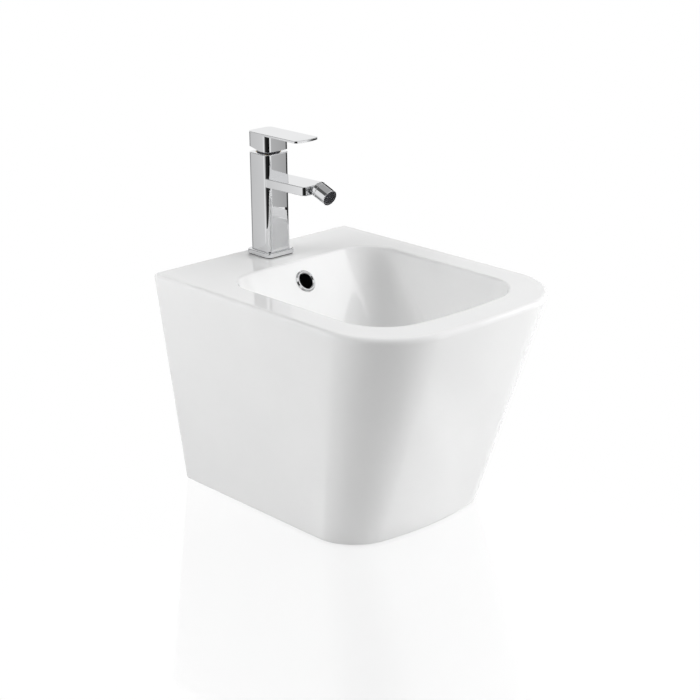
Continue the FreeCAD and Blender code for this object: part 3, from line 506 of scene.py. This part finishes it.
# tap: column, spout, base plate
# the second finish is chrome painted near black as shade, for bores and recesses
tapLooks = ("chrome", "darkChrome")
tap = {"y": -40.0, "size": 42.0, "corner": 8.0, "low": 98.0, "high": 236.4, "edge": 1.2, "bore": 17.6,
       "boreFloor": 206.4, "plate": (50.0, 7.5, 91.5, 98.0), "plateEdge": 2.4, "spigot": (16.6, 92.0),
       "inlets": (7.5, 5.0, 4.45, 106.0), "stud": (3.02, 12.0, 110.0),
       "spout": {"half": 20.5, "tip": -136.0, "rear": -40.0, "high": 203.4, "thick": 12.5, "corner": 5.5,
                 "edge": 1.0, "rise": 1.0, "hinge": -61.0}}


def makeTap(t):
    s, looks = t["spout"], tapLooks
    body = edgedPrism("tapBody", squareOutline(t["size"], t["corner"], 0, t["y"]), t["low"], t["high"], 0.2,
                      t["edge"], looks)
    outline = lineRun((1 - s["half"], s["rear"]), (s["half"] - 1, s["rear"]), 6)
    outline += lineRun((s["half"], s["rear"] - 1), (s["half"], s["tip"] + s["corner"]), 16)
    outline += arcRun(s["half"] - s["corner"], s["tip"] + s["corner"], s["corner"], 0, -math.pi / 2, 12)
    outline += lineRun((s["half"] - s["corner"], s["tip"]), (s["corner"] - s["half"], s["tip"]), 8)
    outline += arcRun(s["corner"] - s["half"], s["tip"] + s["corner"], s["corner"], -math.pi / 2, -math.pi, 12)
    outline += lineRun((-s["half"], s["tip"] + s["corner"]), (-s["half"], s["rear"] - 1), 16)
    spout = edgedPrism("spout", outline, s["high"] - s["thick"], s["high"], s["edge"], s["edge"], looks)
    hinge = Vector((0, s["hinge"], s["high"])) * mm
    turn = Matrix.Rotation(math.radians(-s["rise"]), 4, "X")
    spout.data.transform(Matrix.Translation(hinge) @ turn @ Matrix.Translation(-hinge))
    carve(body, spout, "UNION")
    spigot = rodCutter(t["spigot"][0], t["spigot"][1], t["low"] + 2, 0, t["y"], looks)
    carve(body, spigot, "UNION")
    # bores and holes take the second finish: chrome painted near black as shade
    carve(body, rodCutter(t["bore"], t["boreFloor"], t["high"] + 2, 0, t["y"], looks, 1))
    half, ahead, radius, top = t["inlets"]
    for x in (-half, half):
        carve(body, rodCutter(radius, t["spigot"][1] - 2, top, x, t["y"] - ahead, looks, 1, 48))
    radius, back, top = t["stud"]
    carve(body, rodCutter(radius, t["spigot"][1] - 2, top, 0, t["y"] + back, looks, 1, 48))
    dress(body, ["tap_body"], "chrome")
    size, corner, low, high = t["plate"]
    plate = edgedPrism("tapBasePlate", squareOutline(size, corner, 0, t["y"]), low, high, 0.3, t["plateEdge"],
                       ("chrome",))
    carve(plate, rodCutter(t["spigot"][0] + 0.2, low - 2, high + 2, 0, t["y"], ("chrome",)))
    dress(plate, ["tap_base_plate"], "chrome")


makeTap(tap)
print("tap body made")


# lever: a head over the column, a thin plate with a bowed tip
lever = {"y": -40.0, "size": 42.0, "corner": 8.0, "low": 239.8, "high": 265.5, "plate": 3.2, "length": 105.0,
         "bulge": 4.0, "tipCorner": 5.0, "edge": 0.8, "chamfer": (29.0, 6.0), "recess": (13.5, 6.0),
         "socket": (4.2, 17.2), "screw": (252.8, 2.52, 3.52, 2.2)}


def tipOutline(v):
    # the plate's outline: square head end, bowed tip with small corners
    half, rear = v["size"] / 2, v["y"] + v["size"] / 2
    tip = rear - v["length"]
    bow = (half ** 2 + v["bulge"] ** 2) / (2 * v["bulge"])
    steps = {"rear": 8, "rearCorner": 14, "side": 24, "corner": 12, "bow": 24}
    return bowedOutline(half, rear, tip, v["corner"], v["tipCorner"], bow, steps)


def makeLever(v):
    rear, looks = v["y"] + v["size"] / 2, tapLooks
    handle = edgedPrism("leverHandle", tipOutline(v), v["high"] - v["plate"], v["high"], 0.3, v["edge"], looks)
    head = edgedPrism("leverHead", squareOutline(v["size"] - 0.02, v["corner"], 0, v["y"]), v["low"],
                      v["high"] - v["plate"] / 2, 0.4, 0.1, looks)
    carve(handle, head, "UNION")
    run, rise = v["chamfer"]
    wedge = ((rear - run, v["low"] - 2), (rear - run, v["low"]), (rear + run, v["low"] + 2 * rise),
             (rear + run, v["low"] - 2))
    carve(handle, sidePrism("wedge", wedge, v["size"], looks))
    # the recess, socket and screw holes take chrome painted near black as shade
    carve(handle, rodCutter(v["recess"][0], v["low"] - 2, v["low"] + v["recess"][1], 0, v["y"], looks, 1))
    half, deep = v["socket"]
    carve(handle, boxCutter((-half, v["y"] - half, v["low"] - 2), (half, v["y"] + half, v["low"] + deep),
                            looks, 1))
    z, screw, cover, coverDeep = v["screw"]
    carve(handle, aim(rodCutter(screw, -30, 1, 0, 0, looks, 1, 32), 0, (0, v["y"], z)))
    carve(handle, aim(rodCutter(cover, -2, coverDeep, 0, 0, looks, 1, 48), 0, (0, rear, z)))
    dress(handle, ["lever_handle"], "chrome")


makeLever(lever)
print("lever made")


# swivel aerator on its ball
aerator = {"centre": (0.0, -146.696, 198.6449), "rise": 1.0, "tilt": -20.5, "radius": 11.5, "back": -6.0,
           "seam": 1.0, "seamGap": 0.12, "pocket": 9.35, "mouth": 57.0, "front": 19.7, "bore": 10.1,
           "ledge": (7.0, 8.8, 10.4), "skin": 0.55, "insert": 9.98, "insertSet": 0.8, "insertStem": (7.99, 11.9),
           "dish": (8.6, 1.2, 2.4), "meshRadius": 8.9, "meshPitch": 1.45, "wire": 0.2, "meshSet": 1.05,
           "nipple": {"ahead": 10.6, "bore": 2.2, "thread": (4.0, 9.0), "collar": (5.0, 1.2), "neck": 3.3,
                      "ball": 8.0, "sweep": (-65.6, 74.0), "boreEnd": 7.69}}


def meshTree(look):
    tree = bpy.data.node_groups.new("sieve", "GeometryNodeTree")
    face = tree.interface
    sockets = {}
    for name in ("Radius", "Pitch", "Wire"):
        sockets[name] = face.new_socket(name, in_out="INPUT", socket_type="NodeSocketFloat").identifier
    sockets["Across"] = face.new_socket("Across", in_out="INPUT", socket_type="NodeSocketInt").identifier
    face.new_socket("Geometry", in_out="OUTPUT", socket_type="NodeSocketGeometry")
    add, link = tree.nodes.new, tree.links.new
    given, result = add("NodeGroupInput"), add("NodeGroupOutput")
    across = add("ShaderNodeMath")
    across.operation = "MULTIPLY"
    across.inputs[1].default_value = 2
    link(given.outputs["Radius"], across.inputs[0])
    grid = add("GeometryNodeMeshGrid")
    for side in ("Size X", "Size Y"):
        link(across.outputs[0], grid.inputs[side])
    for side in ("Vertices X", "Vertices Y"):
        link(given.outputs["Across"], grid.inputs[side])
    place, length, beyond = add("GeometryNodeInputPosition"), add("ShaderNodeVectorMath"), add("FunctionNodeCompare")
    length.operation = "LENGTH"
    beyond.operation = "GREATER_THAN"
    link(place.outputs[0], length.inputs[0])
    link(length.outputs["Value"], beyond.inputs[0])
    link(given.outputs["Radius"], beyond.inputs[1])
    trim = add("GeometryNodeDeleteGeometry")
    link(grid.outputs["Mesh"], trim.inputs["Geometry"])
    link(beyond.outputs[0], trim.inputs["Selection"])
    eye = add("GeometryNodeCurvePrimitiveCircle")
    eye.inputs["Resolution"].default_value = 8
    half = add("ShaderNodeMath")
    half.operation = "MULTIPLY"
    half.inputs[1].default_value = 0.5
    link(given.outputs["Pitch"], half.inputs[0])
    link(half.outputs[0], eye.inputs["Radius"])
    strand = add("GeometryNodeCurvePrimitiveCircle")
    strand.inputs["Resolution"].default_value = 4
    link(given.outputs["Wire"], strand.inputs["Radius"])
    sweep = add("GeometryNodeCurveToMesh")
    link(eye.outputs["Curve"], sweep.inputs["Curve"])
    link(strand.outputs["Curve"], sweep.inputs["Profile Curve"])
    spread = add("GeometryNodeInstanceOnPoints")
    link(trim.outputs["Geometry"], spread.inputs["Points"])
    link(sweep.outputs["Mesh"], spread.inputs["Instance"])
    real, paint = add("GeometryNodeRealizeInstances"), add("GeometryNodeSetMaterial")
    paint.inputs["Material"].default_value = finish[look]
    link(spread.outputs["Instances"], real.inputs[0])
    link(real.outputs[0], paint.inputs["Geometry"])
    link(paint.outputs["Geometry"], result.inputs["Geometry"])
    return tree, sockets


def plainMesh(name, tree, sockets, values):
    # runs a tree once and keeps its result as a plain mesh
    start = bpy.data.objects.new(name, bpy.data.meshes.new(name))
    scene.collection.objects.link(start)
    tool = start.modifiers.new("grow", "NODES")
    tool.node_group = tree
    for key, value in values.items():
        tool[sockets[key]] = value
    bpy.context.view_layer.update()
    mesh = bpy.data.meshes.new_from_object(start.evaluated_get(bpy.context.evaluated_depsgraph_get()))
    start.modifiers.clear()
    start.data = mesh
    mesh.name = name
    return start


def makeAerator(v):
    centre, radius, pocket, mouth = v["centre"], v["radius"], v["pocket"], math.radians(v["mouth"])
    lip, lipZ = pocket * math.sin(mouth), -pocket * math.cos(mouth)
    flare = lip + (lipZ - v["back"]) * math.tan(mouth)
    seam = v["seam"] - v["seamGap"]
    profile = roundedProfile([(flare, v["back"], 0.15), (radius, v["back"], 1.8), (radius, seam, 0.6),
                              (pocket + 0.02, seam, 0)])
    profile += [(pocket * math.cos(a), pocket * math.sin(a))
                for a in [math.radians((v["mouth"] - 90) * i / 8) for i in range(9)]]
    cap = turnedPiece("swivelCap", profile, ("chrome",))
    dress(aim(cap, v["tilt"], centre), ["swivel_cap"], "chrome")
    bore = v["bore"]
    ledge, ledgeLow, ledgeHigh = v["ledge"]
    shell = turnedPiece("aeratorHousing", roundedProfile(
        [(bore, v["seam"], 0), (radius, v["seam"], 0.6), (radius, v["front"], 0.6), (bore, v["front"], 0.35),
         (bore, ledgeHigh, 0), (ledge, ledgeHigh, 0.2), (ledge, ledgeLow, 0.2), (bore, ledgeLow, 0)]), tapLooks)
    for side in shell.data.polygons:                         # the inside is painted near black, as shade
        if math.hypot(side.center.x, side.center.y) < (radius - v["skin"]) * mm:
            side.material_index = 1
    dress(aim(shell, v["tilt"], centre), ["aerator_housing"], "chrome")
    face = v["front"] - v["insertSet"]
    stem, stemZ = v["insertStem"]
    dish, dishTop, dishLow = v["dish"]
    insert = turnedPiece("aeratorInsert", roundedProfile(
        [(0, face - dishLow, 0), (stem, face - dishLow, 0), (stem, stemZ, 0), (v["insert"], stemZ, 0.2),
         (v["insert"], face, 0.5), (dish, face, 0.5), (dish, face - dishTop, 0), (0, face - dishTop, 0)]),
        ("darkPlastic",))
    dress(aim(insert, v["tilt"], centre), ["aerator_insert"], "dark_plastic")
    # the sieve is chrome painted near black, as shade in its recess
    tree, sockets = meshTree("darkChrome")
    across = 2 * int(v["meshRadius"] / v["meshPitch"]) + 1
    sieve = plainMesh("aeratorSieve", tree, sockets, {"Radius": v["meshRadius"] * mm, "Pitch": v["meshPitch"] * mm,
                                                      "Wire": v["wire"] * mm, "Across": across})
    for side in sieve.data.polygons:
        side.use_smooth = True
    move(sieve, 0, 0, face - v["meshSet"])
    aim(sieve, v["tilt"], centre)
    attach(sieve, "aerator")
    makeNipple(v["nipple"], v["rise"], centre)


def makeNipple(n, rise, centre):
    low, ball, bore = -n["ahead"], n["ball"], n["bore"]
    thread, length = n["thread"]
    collar, thick = n["collar"]
    first, last = n["sweep"]
    profile = [(bore, low - length), (thread, low - length), (thread, low)]
    profile += roundedProfile([(collar, low, 0.2), (collar, low + thick, 0.3), (n["neck"], low + thick, 0.2)])[1:]
    for i in range(25):
        a = math.radians(first + (last - first) * i / 24)
        profile.append((ball * math.cos(a), ball * math.sin(a)))
    nipple = turnedPiece("ballNipple", profile + [(bore, n["boreEnd"])], ("chrome",))
    dress(aim(nipple, rise, centre), ["ball_nipple"], "chrome")


makeAerator(aerator)
print("aerator made")


# overflow ring in the rear basin wall, its sleeve painted near black as shade
overflow = {"centre": (0.0, -112.5372, 64.0), "rise": 34.0, "bore": 11.0, "sleeve": 11.9, "outer": 16.0,
            "crown": 3.0, "deep": -11.0}


def makeOverflow(v):
    ring = turnedPiece("overflowRing", roundedProfile(
        [(v["bore"], v["deep"], 0), (v["sleeve"], v["deep"], 0), (v["sleeve"], 0, 0), (v["outer"], 0, 0.2),
         (v["outer"], 1.0, 0.5), (v["outer"] - 2, v["crown"], 1.2), (v["bore"] + 1.5, v["crown"], 0.8),
         (v["bore"], v["crown"] - 1.5, 0.6)]), tapLooks)
    # faces below the crown, the sleeve, get chrome painted near black as shade
    for face in ring.data.polygons:
        if face.center.z < -0.5 * mm:
            face.material_index = 1
    dress(aim(ring, v["rise"], v["centre"]), ["overflow_ring"], "chrome")


makeOverflow(overflow)
print("overflow ring made")


# plug cap, slightly domed
plug = {"y": -272.0, "low": -65.0, "high": -60.0, "radius": 19.0, "crown": 2.0, "socket": (3.02, 2.5)}


def makePlug(v):
    dome = (v["radius"] ** 2 + v["crown"] ** 2) / (2 * v["crown"])
    edge = v["high"] - v["crown"]
    profile = [(v["socket"][0], v["low"]), (v["radius"] - 0.3, v["low"]), (v["radius"], v["low"] + 0.3)]
    profile += [(v["radius"], edge - 0.5), (v["radius"] - 0.12, edge - 0.15), (v["radius"] - 0.5, edge + 0.12)]
    for i in range(1, 13):
        r = (v["radius"] - 0.5) * (1 - i / 12)
        profile.append((r, v["high"] - dome + math.sqrt(dome ** 2 - r ** 2)))
    profile += [(0.0, v["low"] + v["socket"][1]), (v["socket"][0], v["low"] + v["socket"][1])]
    cap = turnedPiece("plugCap", profile, ("chrome",))
    dress(move(cap, 0, v["y"], 0), ["plug_cap"], "chrome")


makePlug(plug)
print("plug made")


# the other CAD solids, merged and shaded smooth
rebuilt = {"ceramic_body", "tap_body", "tap_base_plate", "lever_handle", "swivel_cap", "aerator_housing",
           "aerator_insert", "ball_nipple", "overflow_ring", "plug_cap"}
# the cartridge collar in the gap under the lever is chrome painted near black, as shade
otherLooks = {"cartridge_collar": "darkChrome"}


def smoothCopy(node):
    words = node.split("_")
    name = words[0] + "".join(word.capitalize() for word in words[1:])
    mesh = frame["nodes"][node].data.copy()
    shape = bmesh.new()
    shape.from_mesh(mesh)
    bmesh.ops.remove_doubles(shape, verts=shape.verts, dist=1e-6)
    bmesh.ops.dissolve_limit(shape, angle_limit=0.002, verts=shape.verts, edges=shape.edges)
    shape.to_mesh(mesh)
    shape.free()
    mesh.materials.clear()
    mesh.materials.append(finish[otherLooks.get(node, slotFinish[nodeSlot[node]])])
    for layer in list(mesh.uv_layers):
        mesh.uv_layers.remove(layer)
    thing = bpy.data.objects.new(name, mesh)
    scene.collection.objects.link(thing)
    return dress(thing, [node], nodeSlot[node], 28)


for node in sorted(set(frame["nodes"]) - rebuilt):
    smoothCopy(node)
print("other solids dressed:", len(frame["nodes"]) - len(rebuilt))


# stage: floor, world, lamps and cards
stageFloor = {"z": -226.5, "reach": 7.0, "mirror": 0.22, "shade": 0.05, "bounce": 0.8,
              "rough": 0.08, "giveUp": 0.7, "centre": (-0.242, -0.457, -0.2265), "fade": (0.12, 0.62)}
worldLight = {"background": 1.0, "fill": 0.07}
lampSize, lampAim = 1.6, (0, -0.2, -0.05)
lamps = [
    {"name": "leftHigh", "place": (-1.6, 0.7, 1.5), "power": 29},
    {"name": "leftLow", "place": (-2.0, 1.1, 0.3), "power": 16.5},
    {"name": "frontRight", "place": (1.2, -2.1, 0.7), "power": 26},
    {"name": "frontHigh", "place": (1.2, -1.6, 1.8), "power": 29},
    {"name": "rightHigh", "place": (1.8, 0.2, 1.6), "power": 8.5},
]
cardSteps, cardCentre = 32, (0.0, -0.08)
cards = [                                                    # strips that only the mirror-sharp chrome sees
    {"name": "rearCard", "turn": (95, 127), "edges": ((0.50, -0.226), (0.50, 0.24)), "tone": (0.0, 0.6)},
    {"name": "leftCard", "turn": (127, 139), "edges": ((0.50, -0.226), (0.50, 0.24)), "tone": (0.68, 1.0)},
    {"name": "nearLeftCard", "turn": (160, 182), "edges": ((1.15, -0.226), (1.15, 0.30)), "tone": (0.7, 0.3)},
    {"name": "nearCard", "turn": (182, 271), "edges": ((1.15, -0.226), (1.15, 0.30)), "tone": (0.03, 0.0)},
    {"name": "nearHighCard", "turn": (205, 250), "edges": ((1.15, 0.30), (1.15, 1.6)), "tone": (0.06, 0.06)},
    {"name": "frontCard", "turn": (304, 322), "edges": ((0.80, -0.05), (0.80, 0.28)), "tone": (0.8, 0.12)},
    {"name": "rightCard", "turn": (312, 362), "edges": ((1.15, -0.226), (1.15, 0.22)), "tone": (0.02, 0.02)},
    {"name": "rightHighCard", "turn": (324, 362), "edges": ((1.15, 0.8), (1.15, 1.3)), "tone": (0.02, 0.02)},
    {"name": "rightFarCard", "turn": (380, 404), "edges": ((1.15, 0.22), (1.15, 1.1)), "tone": (0.02, 0.02)},
    {"name": "rearHighCard", "turn": (110, 136), "edges": ((1.15, 0.30), (0.6, 1.0)), "tone": (0.2, 0.2)},
    {"name": "leftHighCard", "turn": (136, 160), "edges": ((1.15, 0.75), (0.52, 1.15)), "tone": (0.12, 0.12)},
    {"name": "ceilingCard", "turn": (0, 360), "edges": ((0.67, 1.0), (0.0, 1.0)), "tone": (0.45, 0.45),
     "centre": (0.2, -0.08)},
]
glints = [                                                   # strips that the other glossy surfaces see
    {"name": "leftGlint", "turn": (136, 152), "edges": ((1.2, 0.55), (1.2, 0.9)), "tone": (2.5, 4.5)},
    {"name": "frontGlint", "turn": (308, 332), "edges": ((1.2, 0.50), (1.2, 0.66)), "tone": (8.0, 4.0)},
    {"name": "frontGlow", "turn": (300, 335), "edges": ((1.2, 0.66), (1.2, 1.0)), "tone": (3.0, 3.0)},
    {"name": "rearShade", "turn": (55, 118), "edges": ((1.2, 0.97), (0.7, 1.25)), "tone": (0.05, 0.05)},
]


def backgroundRays(tree):
    # 1 for the rays that see floor and world as a background: camera, glossy and transmission
    add, link = tree.nodes.new, tree.links.new
    path, direct, every = add("ShaderNodeLightPath"), add("ShaderNodeMath"), add("ShaderNodeMath")
    direct.operation = every.operation = "MAXIMUM"
    link(path.outputs["Is Camera Ray"], direct.inputs[0])
    link(path.outputs["Is Glossy Ray"], direct.inputs[1])
    link(direct.outputs[0], every.inputs[0])
    link(path.outputs["Is Transmission Ray"], every.inputs[1])
    return every.outputs[0]


def floorLook(v):
    mat = bpy.data.materials.new("paleFloor")
    mat.use_nodes = True
    tree = mat.node_tree
    tree.nodes.clear()
    add, link = tree.nodes.new, tree.links.new
    out = add("ShaderNodeOutputMaterial")
    glow, mirror, shade, bounce = (add("ShaderNodeEmission"), add("ShaderNodeBsdfGlossy"),
                                   add("ShaderNodeBsdfDiffuse"), add("ShaderNodeBsdfDiffuse"))
    place, apart, near = add("ShaderNodeNewGeometry"), add("ShaderNodeVectorMath"), add("ShaderNodeMapRange")
    apart.operation = "DISTANCE"
    apart.inputs[1].default_value = v["centre"]
    link(place.outputs["Position"], apart.inputs[0])
    link(apart.outputs["Value"], near.inputs["Value"])
    near.interpolation_type = "SMOOTHSTEP"
    near.inputs["From Min"].default_value, near.inputs["From Max"].default_value = v["fade"]
    near.inputs["To Min"].default_value = 1.0
    near.inputs["To Max"].default_value = 0.0
    gloss, dull, rest = add("ShaderNodeMath"), add("ShaderNodeMath"), add("ShaderNodeMath")
    gloss.operation = dull.operation = "MULTIPLY"
    gloss.inputs[1].default_value = v["mirror"]
    dull.inputs[1].default_value = v["shade"]
    rest.operation = "MULTIPLY_ADD"                          # what mirror and shade take, the glow gives up
    rest.inputs[1].default_value = -v["mirror"] - v["giveUp"] * v["shade"]
    rest.inputs[2].default_value = 1.0
    for part in (gloss, dull, rest):
        link(near.outputs["Result"], part.inputs[0])
    link(rest.outputs[0], glow.inputs["Strength"])
    link(gloss.outputs[0], mirror.inputs["Color"])
    link(dull.outputs[0], shade.inputs["Color"])
    mirror.inputs["Roughness"].default_value = v["rough"]
    bounce.inputs["Color"].default_value = (v["bounce"],) * 3 + (1,)
    first, second = add("ShaderNodeAddShader"), add("ShaderNodeAddShader")
    link(glow.outputs[0], first.inputs[0])
    link(mirror.outputs[0], first.inputs[1])
    link(first.outputs[0], second.inputs[0])
    link(shade.outputs[0], second.inputs[1])
    pick = add("ShaderNodeMixShader")
    link(backgroundRays(tree), pick.inputs[0])
    link(bounce.outputs[0], pick.inputs[1])
    link(second.outputs[0], pick.inputs[2])
    link(pick.outputs[0], out.inputs["Surface"])
    return mat


def makeFloor(v):
    r, z = v["reach"], v["z"] * mm
    mesh = bpy.data.meshes.new("stageFloor")
    mesh.from_pydata([(-r, -r, z), (r, -r, z), (r, r, z), (-r, r, z)], [], [(0, 1, 2, 3)])
    mesh.materials.append(floorLook(v))
    floor = bpy.data.objects.new("stageFloor", mesh)
    scene.collection.objects.link(floor)


def makeWorld(v):
    world = bpy.data.worlds.new("studio")
    scene.world = world
    world.use_nodes = True
    tree = world.node_tree
    add, link = tree.nodes.new, tree.links.new
    back = tree.nodes["Background"]
    level = add("ShaderNodeMapRange")
    level.inputs["To Min"].default_value = v["fill"]
    level.inputs["To Max"].default_value = v["background"]
    link(backgroundRays(tree), level.inputs["Value"])
    back.inputs["Color"].default_value = (1, 1, 1, 1)
    link(level.outputs["Result"], back.inputs["Strength"])


def makeLamp(v):
    data = bpy.data.lights.new(v["name"], "AREA")
    data.shape = "SQUARE"
    data.size = lampSize
    data.energy = v["power"]
    lamp = bpy.data.objects.new(v["name"], data)
    scene.collection.objects.link(lamp)
    lamp.location = v["place"]
    lamp.rotation_mode = "QUATERNION"
    lamp.rotation_quaternion = (Vector(lampAim) - Vector(v["place"])).to_track_quat("-Z", "Y")
    lamp.visible_camera = False
    lamp.visible_glossy = False


def makeCard(v, mirrorsOnly):
    mat = bpy.data.materials.new(v["name"])
    mat.use_nodes = True
    tree = mat.node_tree
    tree.nodes.clear()
    add, link = tree.nodes.new, tree.links.new
    out, glow = add("ShaderNodeOutputMaterial"), add("ShaderNodeEmission")
    glow.inputs["Strength"].default_value = v["tone"][0]
    if v["tone"][0] != v["tone"][1]:
        shade = add("ShaderNodeAttribute")
        shade.attribute_name = "tone"
        link(shade.outputs["Fac"], glow.inputs["Strength"])
    path, clear, pick = add("ShaderNodeLightPath"), add("ShaderNodeBsdfTransparent"), add("ShaderNodeMixShader")
    link(path.outputs["Is Singular Ray"], pick.inputs[0])
    link(clear.outputs[0], pick.inputs[1 if mirrorsOnly else 2])
    link(glow.outputs[0], pick.inputs[2 if mirrorsOnly else 1])
    link(pick.outputs[0], out.inputs["Surface"])
    steps = cardSteps
    x, y = v.get("centre", cardCentre)
    (start, end), (first, last) = v["turn"], v["tone"]
    points, tones = [], []
    for i in range(steps + 1):
        a = math.radians(start + (end - start) * i / steps)
        points += [(x + radius * math.cos(a), y + radius * math.sin(a), z) for radius, z in v["edges"]]
        tones += [first + (last - first) * i / steps] * 2
    faces = [(2 * i, 2 * i + 2, 2 * i + 3, 2 * i + 1) for i in range(steps)]
    mesh = bpy.data.meshes.new(v["name"])
    mesh.from_pydata(points, [], faces)
    mesh.attributes.new("tone", "FLOAT", "POINT").data.foreach_set("value", tones)
    mesh.materials.append(mat)
    card = bpy.data.objects.new(v["name"], mesh)
    scene.collection.objects.link(card)
    card.visible_camera = False
    card.visible_diffuse = False
    card.visible_shadow = False
    card.visible_transmission = False


makeFloor(stageFloor)
makeWorld(worldLight)
for lamp in lamps:
    makeLamp(lamp)
for card in cards:
    makeCard(card, True)
for card in glints:
    makeCard(card, False)
scene.view_settings.view_transform = "Standard"
print("stage made")
